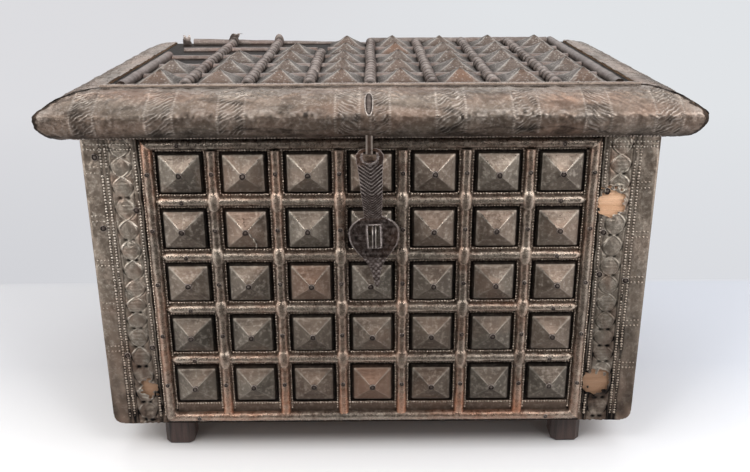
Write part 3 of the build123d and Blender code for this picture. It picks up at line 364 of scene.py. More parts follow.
def add_boss(piece, face, u0, v0, width, height, plinth, rise, seat, seed, tones, lean, dent=0.35, draw=0.0,
             soft=0.975, lower=0.3, shade=0.0, sag=0.5, spread=0.06, under_side=0.24, soil=0.0):
    """Pyramid boss of nested square rings, so the four ridges stay straight and a little rounded."""
    rng = random.Random(seed)
    field = waves(seed, 9, 14.0, 34.0)
    loop = []
    for t in boss_sides:
        corner = soft if t == -1.0 else 1.0
        for k, (a, b) in enumerate(((t, -1.0), (1.0, t), (-t, 1.0), (-1.0, -t))):
            loop.append((k, a * corner, b * corner, abs(t)))
    loop.sort(key=lambda spot: spot[0])
    quarter, across, up, reach = np.array(loop).T
    quarter = quarter.astype(int)
    share = seat / width
    levels = [(1.0, 0.0), (1.0 - 0.8 * draw, plinth - 0.9), (1.0 - draw, plinth - 0.2)]
    for m in (*slope_shares, share + 0.02, share * 0.8, share * 0.3):
        slope = min(1.0, (1 - m) / (1 - share))
        levels.append((m - draw * m, plinth + (rise - plinth) * slope - sag * math.sin(math.pi * slope)))
    # The wear on the ridges is also a painted highlight: stronger on the upper ridges than the lower (lower)
    # and towards the tip.
    ridge = bell(1 - reach, 0, spread)
    weight = np.where(up > 0, 1.0, lower)
    # Painted shade by facing: darkest on the under face (under_side), a little on the two sides.
    facing_shade = np.array([under_side, 0.06, 0.0, 0.06])[quarter]
    rings = []
    for m, w in levels:
        climb = max(0.0, (w - plinth) / (rise - plinth))
        u = u0 + across * m * width / 2 + lean[0] * climb
        v = v0 + up * m * height / 2 + lean[1] * climb
        shove = dent * field(u, v) * (1 if 0.08 < climb < 0.95 else 0.3)
        pts = place(face, u, v, np.maximum(w + shove * (w > 0), 0))
        on_face = 1.0 if w > plinth - 0.5 else 0.0
        rim = bell(m, 1.0 - draw, 0.05) * on_face
        worn_and_highlit = ridge * weight * 1.15 * on_face * (0.35 + 0.65 * climb)
        worn_and_highlit = unit(worn_and_highlit + 0.15 * rim + rng.uniform(0.0, 0.08))
        foot = shade * max(0.0, 1 - climb / 0.4) + on_face * soil + facing_shade * on_face
        dirt_and_shade = 0.35 * rim + foot + (0.55 if climb > 0.9 else 0.0)
        # The plinth walls are painted black: shade in the gap round the boss.
        rings.append((pts, worn_and_highlit, dirt_and_shade if on_face else 1.0))
    piece.rings(rings, np.tile(np.array(tones)[quarter], len(levels)))


def add_rib(piece, face, start, end, width, height, radii=None, mitre=(0, 0), heights=None, step=2.5, seed=0,
            copper=0.1, wobble=0.22, worn_and_highlit=0.35, shade=0.0):
    """Half-round rib between two points of a face, with a radius and a height for every station."""
    start, end, length, along, across = line_between(start, end)
    count = max(3, int(length / step) + 1)
    t = np.linspace(0, length, count)
    field = waves(seed + 77, 8, 12.0, 60.0)
    scale = np.ones(count) if radii is None else radii(t, length)
    tall = np.ones(count) if heights is None else heights(t, length)
    core = height - width / 2
    angle = np.linspace(math.pi, 0, 11)
    cross = np.concatenate([[-width / 2], width / 2 * np.cos(angle), [width / 2]])
    rise = np.concatenate([[0.0], core + width / 2 * np.sin(angle), [0.0]])
    c = cross[None, :] * scale[:, None] + (wobble * field(t, t * 0.31))[:, None]
    w = (np.where(rise > 0, core + (rise - core) * scale[:, None], 0.0)) * tall[:, None]
    bulge = wobble * 0.8 * field(t * 1.3 + 50, t * 0.0 + 3.0)
    w = w + np.where(rise > 0.1, bulge[:, None] * (rise / height), 0.0)
    share = (t / length)[:, None]
    s = share * length + cross[None, :] * (mitre[0] * (1 - share) + mitre[1] * share)
    u = start[0] + along[0] * s + across[0] * c
    v = start[1] + along[1] * s + across[1] * c
    crown = unit(rise / height)
    # Wear and a painted highlight along the crown, and on the knuckles where the rib swells.
    wear = unit(worn_and_highlit * unit((crown - 0.82) / 0.18)[None, :] + 0.12 * field(t * 2.1, t * 0.7)[:, None])
    wear = unit(wear + 0.10 * unit((scale - 1.0) / 0.2)[:, None] * (crown > 0.6)[None, :])
    # Painted shade down the rib's low sides, and with shade in the valleys between the rings.
    valley = shade * unit((1.0 - scale) / 0.25)[:, None]
    grime_and_shade = unit(np.clip(1.0 - crown * 2.4, 0, 0.95)[None, :] + valley)
    warm = copper(t, length)[:, None] * np.ones_like(w) if callable(copper) else copper
    index = piece.grid(place(face, u, v, np.maximum(w, 0)), wear, grime_and_shade, unit(warm))
    piece.cap(index[0])
    piece.cap(index[-1], flip=True)


bead_corners = 6
bead_turns = np.linspace(0, 2 * math.pi, bead_corners, endpoint=False)
bead_ring = np.array([[math.cos(a), math.sin(a)] for a in bead_turns])


def add_beads(piece, face, start, end, pitch, radius, base, seed=0, wear=0.65, copper=0.15, keep=None):
    """A row of small raised beads between two points of a face; keep says how bright each one is, or 0."""
    rng = np.random.default_rng(seed)
    start, end, length, _, _ = line_between(start, end)
    count = max(1, int(length / pitch))
    # Painted shade round each bead's foot and on its lower side.
    below = unit(-bead_ring[:, 1])
    dirt_and_shade = np.stack([np.minimum(0.7 + 0.3 * below, 1.0), 0.6 * below])
    for n in range(count):
        u, v = start + (end - start) * (n + 0.5) / count + rng.normal(0, 0.12, 2)
        weight = 1.0 if keep is None else keep(u, v)
        if weight <= 0:
            continue
        size = radius * rng.uniform(0.82, 1.12)
        top = base + size * rng.uniform(0.7, 0.95)
        rows = [place(face, u + size * k * bead_ring[:, 0], v + size * k * bead_ring[:, 1], w)
                for k, w in ((1.0, base), (0.72, base + (top - base) * 0.72))]
        bright = wear * weight * rng.uniform(0.5, 1.0)
        shine = np.repeat([0.0, bright], bead_corners)
        inner = piece.grid(np.array(rows), shine, dirt_and_shade, copper, ring=True)[1]
        tip = piece.points(place(face, u, v, top), bright, 0.0, copper)
        piece.faces.append([[inner[i], inner[(i + 1) % bead_corners], tip] for i in range(bead_corners)])


# From the rim to the crown: share of the radius, share of the rise, wear, grime; the grime in the groove is
# painted shade.
nail_profile = ((1.0, 0.0, 0.1, 0.8), (0.97, 0.5, 0.4, 0.2), (0.88, 0.95, 0.6, 0.0), (0.79, 0.8, 0.0, 0.95),
                (0.7, 0.5, 0.0, 1.0), (0.55, 0.75, 0.0, 0.7), (0.3, 0.95, 0.15, 0.5), (0.12, 1.0, 0.25, 0.45))


def add_nail(piece, face, u0, v0, base, radius, rise, seed):
    """Nail driven through a raised collar of sheet: bright rim, dark groove of painted shade, dull crown."""
    rng = np.random.default_rng(seed)
    around = np.linspace(0, 2 * math.pi, 14, endpoint=False)
    out = 1 + 0.06 * np.sin(around * 2 + rng.uniform(0, 6)) + 0.04 * np.sin(around * 3 + rng.uniform(0, 6))
    rings = []
    for share, level, shine, dirt_and_shade in nail_profile:
        u, v = u0 + radius * share * out * np.cos(around), v0 + radius * share * out * np.sin(around)
        rings.append((place(face, u, v, base + rise * level), shine * rng.uniform(0.5, 1.0), dirt_and_shade))
    piece.rings(rings, 0.1)


# ---------------------------------------------------------------- studwork of the front and the two sides
boss_soil = (0.0, 0.02, 0.09, 0.21, 0.23)
row_levels = [first_row - row * row_pitch for row in range(stud_rows)]
crossings = [first_row - (gap + 0.5) * row_pitch for gap in range(stud_rows - 1)]
low_end, high_end = bottom_rib + tube_w / 2 + 1.0, top_rib - tube_w / 2 - 0.4
coppery_boss, covered_boss, cracked_boss, wide_nail = (3, 4), (3, 1), (1, 1), (1, 0)


def centres_of(columns):
    return [(k - (columns - 1) / 2) * column_pitch for k in range(columns)]


def uprights_of(columns):
    return [(k + 1 - columns / 2) * column_pitch for k in range(columns - 1)]


def knuckled(places):
    """Swollen where the rib passes over the cross ribs."""
    def radii(t, length):
        scale = np.ones_like(t)
        for p in places:
            lens = unit(1 - ((t - p) / (knuckle_l / 2)) ** 2) ** 0.6
            swell = 1 + (knuckle_swell - 1) * (0.10 + 0.90 * lens)
            scale = np.where(np.abs(t - p) < knuckle_l / 2, swell, scale)
        return scale
    return radii


def pencil(left_end, right_end):
    """Rounded off at both ends, and pointed at the chosen ones."""
    def radii(t, length):
        near = np.minimum(t, length - t)
        scale = 0.80 + 0.20 * np.sqrt(unit(1 - (1 - unit(near / 1.6)) ** 2))
        for pointed, distance in ((left_end, t), (right_end, length - t)):
            if pointed:
                scale = np.minimum(scale, 0.30 + 0.70 * unit(distance / 5.0) ** 0.7)
        return scale
    return radii


def flange(piece, face, start, end, side, seed, copper=0.1, wear=0.7, reach=0.0):
    """Flat edge of a rib's strip on one side, with its row of beads."""
    start, end, length, along, across = line_between(start, end)
    t = np.linspace(0, length, max(2, int(length / 4)))
    ragged = 0.22 * waves(seed, 5, 7.0, 30.0)(t, t * 0.4)
    c = np.array([tube_w / 2 - 0.3, bead_line + reach, flange_edge + reach, flange_edge + reach])[None, :]
    c = c + ragged[:, None] * np.array([0, 0, 1, 1])
    u = start[0] + along[0] * t[:, None] + across[0] * c * side
    v = start[1] + along[1] * t[:, None] + across[1] * c * side
    # Painted shade where the flange meets the tube and at its outer edge over the gap.
    grime_and_shade = np.tile([0.9, 0.5, 0.5, 1.0], len(t))
    piece.grid(place(face, u, v, [1.5, 1.15, 1.0, 0.0]), 0.15, grime_and_shade, copper, flip=side > 0)
    row = across * (bead_line + reach) * side
    add_beads(piece, face, start + row, end + row, 2.45, 1.12, 1.15, seed, wear=wear, copper=0.6 * copper)


def frame_strips(name, face, columns):
    piece = Piece()
    edge = columns * column_pitch / 2
    corners = np.array([(-edge, bottom_rib), (edge, bottom_rib), (edge, top_rib), (-edge, top_rib)])
    for n, warm in enumerate((0.5, 0.25, 0.08, 0.38)):
        a, b = corners[n], corners[(n + 1) % 4]

        def tint(t, length):
            glow = warm * (0.5 + 0.5 * np.sin(t / 37.0 + n)) ** 1.5
            return glow + (0.6 * bell(t, 0, 26.0) if n == 3 else 0.0)

        add_rib(piece, face, a, b, tube_w, rib_h, mitre=(1, -1), seed=n + 5, copper=tint, worn_and_highlit=0.25)
        inset = (b - a) / np.linalg.norm(b - a) * (flange_edge + 0.4)
        flange(piece, face, a + inset, b - inset, 1, 61 + n, copper=0.25, reach=7.4 if n == 0 else 0.0)
        flange(piece, face, a, b, -1, 71 + n, copper=0.35)
    piece.build(f"{name}_frame_strips", rib_metal, "chest", f"{name}_frame_ribs")


def upright_strips(name, face, columns):
    piece = Piece()
    low = low_end - 1.5
    swollen = knuckled([z - low for z in crossings])
    stops = [low_end + 1, *sorted(crossings), high_end - 1]
    for n, x in enumerate(uprights_of(columns)):
        warm = random.Random(n + 3 * columns).uniform(0.05, 0.3)

        def tint(t, length):
            return warm * (0.6 + 0.4 * np.sin(t / 23.0 + warm * 40)) + 0.75 * bell(t, 0, 30.0)

        add_rib(piece, face, (x, low), (x, high_end), tube_w, rib_h, radii=swollen, step=0.9, seed=n + 20,
                copper=tint, worn_and_highlit=0.22)
        for k, (a, b) in enumerate(zip(stops, stops[1:])):
            a = a + (0 if k == 0 else tube_w / 2 + 1.2)
            b = b - (0 if k == len(stops) - 2 else tube_w / 2 + 1.2)
            for side in (-1, 1):
                flange(piece, face, (x, a), (x, b), side, n * 9 + k, copper=0.3)
    piece.build(f"{name}_upright_strips", rib_metal, "chest", f"{name}_upright_ribs")


def cross_strips(name, face, columns):
    piece = Piece()
    for k, z in enumerate(crossings):
        for n, x in enumerate(centres_of(columns)):
            first, last = n == 0, n == columns - 1
            a = x - column_pitch / 2 + (tube_w / 2 + (0.2 if first else -2.5))
            b = x + column_pitch / 2 - (tube_w / 2 + (0.2 if last else -2.5))
            warm = random.Random(k * 20 + n + columns).uniform(0.0, 0.22)
            add_rib(piece, face, (a, z), (b, z), tube_w, rib_h - 0.5, radii=pencil(first, last), step=0.8,
                    seed=k * 20 + n, copper=warm, worn_and_highlit=0.5)
            a, b = a + (2.2 if first else 4.6), b - (2.2 if last else 4.6)
            # The beads above each cross rib are brighter than those below: a painted highlight from above.
            for side, wear in ((-1, 0.6), (1, 1.0)):
                flange(piece, face, (a, z), (b, z), side, k * 31 + n, copper=0.30, wear=wear)
    piece.build(f"{name}_cross_strips", rib_metal, "chest", f"{name}_cross_ribs")


def add_crack(piece, tip_x, tip_z):
    """Torn edge of sheet down a boss of the front, from its tip to its lower edge."""
    path = ((1.4, 0.2), (3.4, -1.6), (4.4, -4.6), (6.3, -6.0), (6.6, -9.4), (8.0, -11.6), (7.7, -15.4))
    for near, far, wide in zip(path, path[1:], (0.9, 1.1, 0.9, 1.2, 0.9, 0.8)):
        tear = []
        for a, b in (near, far):
            level = 12.3 - 7.6 * max(abs(a) / boss_w, abs(b) / boss_h) * 2
            tear.append(place(FRONT, tip_x + a + np.array([-wide, -0.1, wide]), tip_z + b,
                              level + np.array([0.1, 1.3, 0.5])))
        piece.grid(np.array(tear), [1.0, 1.0, 0.4] * 2, [0.0, 0.0, 0.8] * 2)


def studs(name, face, columns):
    """Pyramid bosses in rows, with a nail through each tip."""
    bosses, nails = Piece(), Piece()
    centres = centres_of(columns)
    for n, x in enumerate(centres):
        for r, z in enumerate(row_levels):
            spot = (n, r) if name == "front" else None
            rng = random.Random(n * 10 + r + (500 if name == "left" else 0))
            lean = (rng.uniform(-1.0, 1.0), rng.uniform(-1.2, 0.4))
            warm = max(0.0, rng.gauss(0.05, 0.08))
            if spot == coppery_boss:
                warm = 0.55
            drop = 0.8 if r == stud_rows - 1 else 0.0
            # The top face of each boss gets a little more copper: a tint painted by facing.
            add_boss(bosses, face, x, z - drop, boss_w, boss_h, boss_plinth, boss_rise, boss_seat,
                     n * 10 + r + 1, (warm + 0.02, warm, warm + 0.1, warm), lean, draw=0.075,
                     soil=boss_soil[r] + rng.uniform(0.0, 0.06))
            if spot != covered_boss:
                radius = 3.1 if spot == wide_nail else 2.8
                add_nail(nails, face, x + lean[0], z + lean[1], boss_rise - 0.4, radius, 1.6, n * 10 + r)
    if name == "front":
        add_crack(bosses, centres[cracked_boss[0]], row_levels[cracked_boss[1]])
    bosses.build(f"{name}_pyramids", stud_metal, "chest", f"{name}_bosses")
    nails.build(f"{name}_tip_nails", nail_iron, "chest", f"{name}_boss_nails")


def strip_nails(name, face, columns):
    piece = Piece()
    edge, outer = columns * column_pitch / 2, centres_of(columns)[-1]
    places = [(x, z) for x in (*uprights_of(columns), -edge, edge) for z in row_levels]
    places += [(x, z) for x in (-outer, outer) for z in (*crossings, top_rib, bottom_rib)]
    for n, (u, v) in enumerate(places):
        add_nail(piece, face, u, v, rib_h - 0.35, 2.1, 1.3, n)
    piece.build(f"{name}_strip_nails", nail_iron, "chest", f"{name}_rib_nails")


for name, face, columns in (("front", FRONT, 7), ("left", LEFT, 5), ("right", RIGHT, 5)):
    for cover in (frame_strips, upright_strips, cross_strips, studs, strip_nails):
        cover(name, face, columns)


# ---------------------------------------------------------------- chased borders of the front
border_inner, groove_x, groove_foot = 191.4, 193.6, 18
disc_pitch, disc_half, chain_half, chain_inset = 17.7, 8.2, 9.5, 32.0
border_corner = 9.0


def border(name, side, bead_insets, bead_rows, holes):
    """One border's sheet: a chain of domed discs with painted highlights and painted shade, between bead
    rows, dirty and tattier towards the foot.

    A hole is its middle, half width, half height, flatness below its middle, seed and squareness.
    """
    left = side < 0
    xx, zz = np.meshgrid(np.linspace(border_inner, side_x, 122), np.linspace(0.0, body_height, 640))

    def field(seed, count, low, high, u=xx):
        return waves(seed + (not left), count, low, high)(u, zz)

    inset = side_x - xx
    drift = field(12, 6, 60.0, 200.0, xx * 0)
    across = inset - chain_inset - 0.8 * drift
    phase = (zz - 5.0 + 2.2 * drift) / disc_pitch
    cell = phase % 1.0
    past_disc = np.abs(across) - 7.9 * np.abs(np.sin(math.pi * phase)) ** 0.74
    lump, fine = field(3, 14, 9.0, 60.0), field(9, 14, 3.0, 9.0)
    broken = np.clip(0.75 + 0.7 * field(15, 10, 12.0, 50.0), 0.15, 1)
    # upper is the upper half of each disc: its crest keeps a painted highlight, and the lower half gets a
    # painted shadow line (brim) and painted shade.
    upper = unit(unit((cell - 0.50) / 0.18) + 0.8 * unit((0.34 - cell) / 0.16))
    crest = bell(past_disc, 0, 0.95) * broken * (0.08 + 0.92 * upper)
    disc = unit(1 - (across / disc_half) ** 2 - ((cell - 0.5) * 2) ** 2 * 0.9) * (past_disc < 0)
    brim = bell(past_disc, 0.9, 0.55) * (1 - upper)
    barred = (disc > 0.45) * (np.sin(np.floor(phase) * 2.4 + side) > -0.2)
    bars = unit(np.cos(2 * math.pi * (cell - 0.5) * disc_pitch / 3.1) - 0.2) * barred
    leaf = unit((past_disc - 1.5) / 1.5) * unit((9.4 - np.abs(across)) / 1.2)
    hollow = bell(np.abs(across), 3.3, 2.0) * bell(np.sin(math.pi * phase), 0, 0.24)
    hollow = hollow * unit(0.75 + 0.8 * field(25, 8, 20.0, 70.0))
    height = 1.15 * crest + disc + 0.22 * bars + 0.55 * leaf - 0.3 * brim + 0.22 * lump + 0.10 * fine
    height = height - 1.6 * hollow
    chain = np.abs(across) < chain_half
    height = np.where(chain, height, 0.62 * field(51, 12, 14.0, 50.0) + 0.10 * fine + 0.45)
    crest_wear = 0.95 if left else 0.95 - 0.75 * unit((235.0 - zz) / 90.0)
    worn_and_highlit = unit((crest_wear * crest + 0.25 * bars + 0.1 * disc) * (0.75 + 0.3 * fine)) * chain
    lines = bell(np.abs(across), 9.6, 0.5)
    dirty_and_shaded = unit(1.2 * hollow + 0.65 * brim + 0.6 * lines + 0.3 * (1 - upper) * chain * (1 - disc))
    # Painted shade along the bead rows.
    for row in (*bead_insets, 44.4):
        dirty_and_shaded = np.maximum(dirty_and_shaded, 0.78 * bell(inset, row, 1.7))

    # The groove next to the studwork, painted black as shade, the dirt and the tatty inner corner at the
    # foot.
    groove_edge = groove_x + 0.5 * field(31, 6, 14.0, 60.0, xx * 0)
    groove = (xx < groove_edge) & (zz > groove_foot)
    height = np.where(groove, -0.8, height)
    soil_top, soil_fall, soil_depth = (150.0, 110.0, 0.60) if left else (235.0, 200.0, 0.70)
    low_dirt = unit((soil_top - zz) / soil_fall) ** 1.1 * (soil_depth + 0.24 * lump)
    tatty = unit((30.0 - zz) / 12.0) * unit((inset - 22.0) / 8.0)
    height = height * (1 - 0.6 * tatty) + 1.1 * tatty * field(71, 14, 4.0, 15.0)
    low_dirt = np.maximum(low_dirt, tatty * (0.78 + 0.3 * lump))
    dirty_and_shaded = np.where(groove, 1.0, np.maximum(dirty_and_shaded, low_dirt + 0.7 * dirty_and_shaded))
    worn_and_highlit = np.maximum(worn_and_highlit, 0.35 * bell(xx - groove_edge, 0.6, 0.5) * (zz > groove_foot))
    height = np.clip(height, -0.9, 1.9) * unit((inset - 0.3) / 1.4)

    # The rounded lower corner and the torn holes.
    in_corner = (inset < border_corner) & (zz < border_corner)
    keep = ~(in_corner & ((inset - border_corner) ** 2 + (zz - border_corner) ** 2 > border_corner ** 2))
    for hx, hz, rx, rz, flat, seed, power in holes:
        reach_z = rz * np.where(zz < hz, flat, 1.0)
        gap = np.abs((xx - hx) / rx) ** power + np.abs((zz - hz) / reach_z) ** power
        gap = gap + 0.5 * waves(seed, 7, 4.0, 13.0)(xx, zz)
        keep &= (gap > 1.0) | (xx < border_inner + 1.2)
        height += 0.9 * bell(gap, 1.25, 0.35)
        worn_and_highlit = np.maximum(worn_and_highlit, 0.6 * bell(gap, 1.12, 0.14))
    warm = unit(0.10 + 0.30 * lump * chain + 0.35 * unit(1 - zz / 90.0))
    piece = Piece()
    start = piece.points(place(FRONT, side * xx, zz, 0.05 + np.maximum(height, -0.85)), worn_and_highlit, dirty_and_shaded, warm)
    index = start + np.arange(xx.size).reshape(xx.shape)
    whole = keep[:-1, :-1] & keep[1:, :-1] & keep[:-1, 1:] & keep[1:, 1:]
    quads = np.stack([index[:-1, :-1], index[:-1, 1:], index[1:, 1:], index[1:, :-1]], axis=-1)[whole]
    piece.faces.append(quads[:, ::-1] if left else quads)

    def clear(u, v):
        """How bright a bead is: none over a hole, duller towards the foot."""
        if any(abs(u - side * hx) < rx + 1 and abs(v - hz) < rz + 1 for hx, hz, rx, rz, *_ in holes):
            return 0.0
        return 0.04 + (0.96 if left else 0.6) * min(1.0, max(0.0, (v - 45.0) / 130.0))

    def row_of_beads(near, far, low, high, *shape, **looks):
        add_beads(piece, FRONT, (side * (side_x - near), low), (side * (side_x - far), high), *shape, **looks)

    outer_wear = 0.55 if left else 0.35
    for k, (bead_inset, top, wear) in enumerate(zip((*bead_insets, 44.0), (263, 263, 259),
                                                    (outer_wear, outer_wear, 0.55))):
        row_of_beads(bead_inset, bead_inset, 7, top, 2.6, 1.3, 0.30, 40 + k, wear=wear, keep=clear)
    for n, level in enumerate(bead_rows):
        for z in (level, level - 5.0):
            row_of_beads(1.6, bead_insets[0] - 1.5, z, z, 2.7, 1.15, 0.4, 60 + n, wear=0.5 if left else 0.3,
                         keep=clear)
    for z in (261.0, 265.2):
        row_of_beads(1.6, 43.0, z, z, 2.6, 1.2, 0.55, int(z), wear=0.75)
    piece.build(name, border_metal, "chest", f"front_{'left' if left else 'right'}_border_sheet")


border("left_border", -1, (15.6, 19.8), (245.6, 203.1, 162.6, 122.0, 80.0),
       ((204.6, 37.0, 8.0, 9.0, 1.0, 61, 1.3),))
border("right_border", 1, (15.8, 20.0), (230.0, 186.0, 144.0, 102.0, 60.0),
       ((203.0, 212.5, 11.0, 12.5, 1.0, 62, 2.4), (204.5, 40.0, 11.0, 12.0, 0.85, 63, 2.4)))
border_nails = Piece()
for n, (u, v) in enumerate(((-228.9, 254.6), (-198.7, 208.2), (-228.5, 192.2), (-197.2, 78.6), (-220.5, 70.7),
                            (199.0, 222.5), (198.8, 185.7), (198.6, 146.8), (222.0, 140.9))):
    add_nail(border_nails, FRONT, u, v, 0.3, 3.0, 1.5, n)
border_nails.build("border_ring_nails", nail_iron, "chest", "border_nails")


# ---------------------------------------------------------------- moulded edge of the lid
overhang, under_r, nose_r, nose_turn = 27.1, 20.1, 6.0, 50
under = (overhang - under_r, lid_bottom + under_r)
nose = (overhang - nose_r, lid_bottom + under_r)
nose_stop, shoulder_turn = math.radians(nose_turn), math.radians(90 - nose_turn)
nose_end = (nose[0] + nose_r * math.cos(nose_stop), nose[1] + nose_r * math.sin(nose_stop))
shoulder_r = (rail_top - nose_end[1]) / (1 - math.cos(shoulder_turn))
shoulder = (nose_end[0] - shoulder_r * math.sin(shoulder_turn), rail_top - shoulder_r)


def profile(count):
    """Points and outward normals round the moulding, evenly spaced, from inner top edge to underside."""
    pts = [(-17.0, rail_top, 0.0, 1.0)]
    arcs = ((shoulder, shoulder_r, 90, nose_turn, 60), (nose, nose_r, nose_turn, 0, 20),
            (under, under_r, 0, -90, 40))
    for middle, radius, first, last, steps in arcs:
        for a in np.radians(np.linspace(first, last, steps)):
            c, s = math.cos(a), math.sin(a)
            pts.append((middle[0] + radius * c, middle[1] + radius * s, c, s))
    pts.append((-2.0, lid_bottom, 0.0, -1.0))
    pts = np.array(pts)
    length = np.concatenate([[0], np.cumsum(np.hypot(*np.diff(pts[:, :2], axis=0).T))])
    even = np.linspace(0, length[-1], count)
    return even, np.stack([np.interp(even, length, pts[:, k]) for k in range(4)], axis=-1)


# Distances round the profile from its inner top edge.
band_start, band_end = 4.6, 13.5
panel_start, panel_end = 11.5, 66
nose_arc, fold_arc, crease_arc, bead_arc, tuck_arc = 44.0, 48.0, 60.0, 78.0, 80


def moulding(name, side, half_length, panels, seed, node):
    """One moulded rail's sheet, for the front where side is 0; a panel is its two ends and its slant."""
    front = side == 0
    even, section = profile(128)
    run = np.linspace(-1, 1, int(2 * half_length) + 61)
    s, z, ns, nz = section.T
    ragged = waves(seed + 40, 10, 4.0, 30.0)
    if front:
        low = -(half_length + s) + (0.5 + 0.9 * np.clip(ragged(even, 0 * even + 1), 0, 2))
        high = half_length + s - (0.6 + 1.2 * np.clip(ragged(even, 0 * even + 60), 0, 2))
    else:
        low = -(s) + 0.5 + 0.8 * np.clip(ragged(even, 0 * even + 9), 0, 2)
        high = np.full_like(s, 2 * half_length)
    share = ((run + 1) / 2)[:, None]
    along = low[None, :] * (1 - share) + high[None, :] * share
    arc = np.broadcast_to(even[None, :], along.shape)

    def field(offset, count, shortest, longest, u=along, v=arc):
        return waves(seed + offset, count, shortest, longest)(u, v)

    # Dents all over, crumples and folds along the nose, a crease beneath it.
    level = 0 * arc
    patchy_nose = np.clip(0.35 + 0.8 * field(4, 6, 50.0, 160.0, v=level), 0.1, 1)
    nose_zone = bell(arc, nose_arc, 7.0)
    crumple = nose_zone * patchy_nose * (0.34 * field(2, 24, 6.0, 20.0, along * 0.55, arc * 1.5)
                                         + 0.12 * field(9, 24, 3.5, 8.0, along * 0.7))
    crease = bell(arc - crease_arc, 1.6 * field(6, 5, 40.0, 120.0, v=level), 0.9)
    crumple = crumple - 0.35 * crease * patchy_nose
    folds = np.clip(field(20, 34, 3.0, 16.0, v=arc * 0.5), -1, 1)
    low_nose = bell(arc - fold_arc, 2.5 * field(21, 8, 10.0, 60.0, v=level), 4.0) * patchy_nose
    dents = 0.42 * field(0, 22, 12.0, 70.0) + 0.24 * field(1, 24, 4.0, 14.0)
    height = dents + crumple + 0.14 * low_nose * folds

    # The zigzag band near the top edge, then pits, speckles and smudges.
    hatch = np.abs(((along + np.abs(((arc - 3.0) % 4.6) - 2.3) * 1.1) / 2.3) % 1.0 - 0.5) * 2
    in_band = (arc > band_start) & (arc < band_end)
    rough_hatch = np.clip(0.5 + 0.8 * field(7, 10, 10.0, 40.0), 0.1, 1)
    height = height + np.where(in_band, 0.42 * (hatch - 0.5) * rough_hatch, 0.0)
    worn_and_highlit = np.where(in_band, 0.8 * unit(hatch - 0.4) * rough_hatch, 0.0)
    grime_and_shade = np.where(in_band, 0.9 * unit(0.45 - hatch) * rough_hatch, 0.0)
    pitted = np.clip(field(8, 30, 2.2, 5.0), -1, 1)
    speckled = field(22, 40, 2.0, 6.0, v=arc * 1.5)
    height = height + 0.05 * pitted + 0.06 * speckled
    worn_and_highlit = worn_and_highlit + 0.22 * unit(speckled - 0.5)
    smudged = unit(field(12, 20, 8.0, 50.0, along * 0.4) - 0.1)
    grime_and_shade = grime_and_shade + 0.12 * unit(-pitted) + 0.38 * smudged

    # Panels of slanted strokes between two dotted lines.
    on_slope = (arc > panel_start) & (arc < panel_end)
    for p, (left, right, slant) in enumerate(panels):
        inside = (along > left) & (along < right) & on_slope
        bend = 1.3 * field(30 + p, 7, 6.0, 24.0)
        stroke_phase = ((arc * 0.95 + slant * (along - left) * 0.75 + bend) / 3.7) % 1.0
        stroke = bell(stroke_phase, 0.5, 0.15)
        patchy = np.clip(0.72 + 0.8 * field(10 + p, 8, 7.0, 22.0), 0.08, 1)
        height = height + np.where(inside, 0.75 * stroke * patchy - 0.16, 0.0)
        worn_and_highlit = worn_and_highlit + np.where(inside, 0.75 * stroke * patchy, 0.0)
        grime_and_shade = grime_and_shade + np.where(inside, 0.28 * (1 - stroke) * patchy, 0.0)
        for line in (left - 1.2, right + 1.2):
            dots = bell(along, line, 0.8) * (0.5 + 0.5 * np.cos(2 * math.pi * arc / 2.3))
            height = height + np.where(on_slope, 0.6 * dots, 0.0)
            worn_and_highlit = worn_and_highlit + np.where(on_slope, 0.7 * dots, 0.0)
    height = height + 0.5 * (bell(arc, bead_arc, 0.8) * (0.5 + 0.5 * np.cos(2 * math.pi * along / 2.1)))
    # Wear and a painted highlight on the crumples and folds along the nose.
    worn_and_highlit = unit(worn_and_highlit + 0.3 * nose_zone * unit(crumple * 3) + 0.3 * low_nose * unit(folds))
    # Darker over the upper slope, a little less towards the right.
    slope_darkening = 0.33 - 0.05 * np.clip(along / 120.0, -1, 1) if front else 0.3
    # Painted shade in the hollows of the folds, on the underside below the nose and in the crease.
    grime_and_shade = grime_and_shade + 0.6 * low_nose * unit(-folds)
    grime_and_shade = grime_and_shade + slope_darkening * unit((arc - 25.0) / 15.0) * unit((56.0 - arc) / 8.0)
    grime_and_shade = unit(grime_and_shade + unit((arc - 50.0) / 20.0) * 0.78 + 0.3 * crease * patchy_nose)

    # The front's corners are worn, and the shadow in the mitre gap is painted as a dark seam.
    corner = 0.0
    near_end = along - low[None, :]
    if front:
        near_end = np.minimum(near_end, high[None, :] - along)
        corner = unit(1 - near_end / 16.0) * nose_zone
        worn_and_highlit = unit(worn_and_highlit + 0.85 * corner)
    seam = unit((3.2 + 1.1 * field(50, 12, 2.0, 12.0, arc, level) - near_end) / 0.8)
    grime_and_shade = np.maximum(grime_and_shade, seam)
    worn_and_highlit = worn_and_highlit * (1 - seam)
    warm = np.clip(0.16 + 0.22 * field(3, 8, 40.0, 160.0, v=arc * 2) + 0.5 * corner, 0, 0.8)
    height = np.clip(height, -0.36, 1.0)
    height = np.where(arc > tuck_arc, height * 0.2, height) - 0.35
    out_s, out_z = s[None, :] + ns[None, :] * height, z[None, :] + nz[None, :] * height
    if front:
        pts = np.stack([along, front_y - out_s, out_z], axis=-1)
    else:
        pts = np.stack([side * (side_x + out_s), front_y + along, out_z], axis=-1)
    piece = Piece()
    piece.grid(pts, worn_and_highlit, grime_and_shade, warm, flip=side >= 0)
    piece.build(name, moulding_metal, "lid", node)


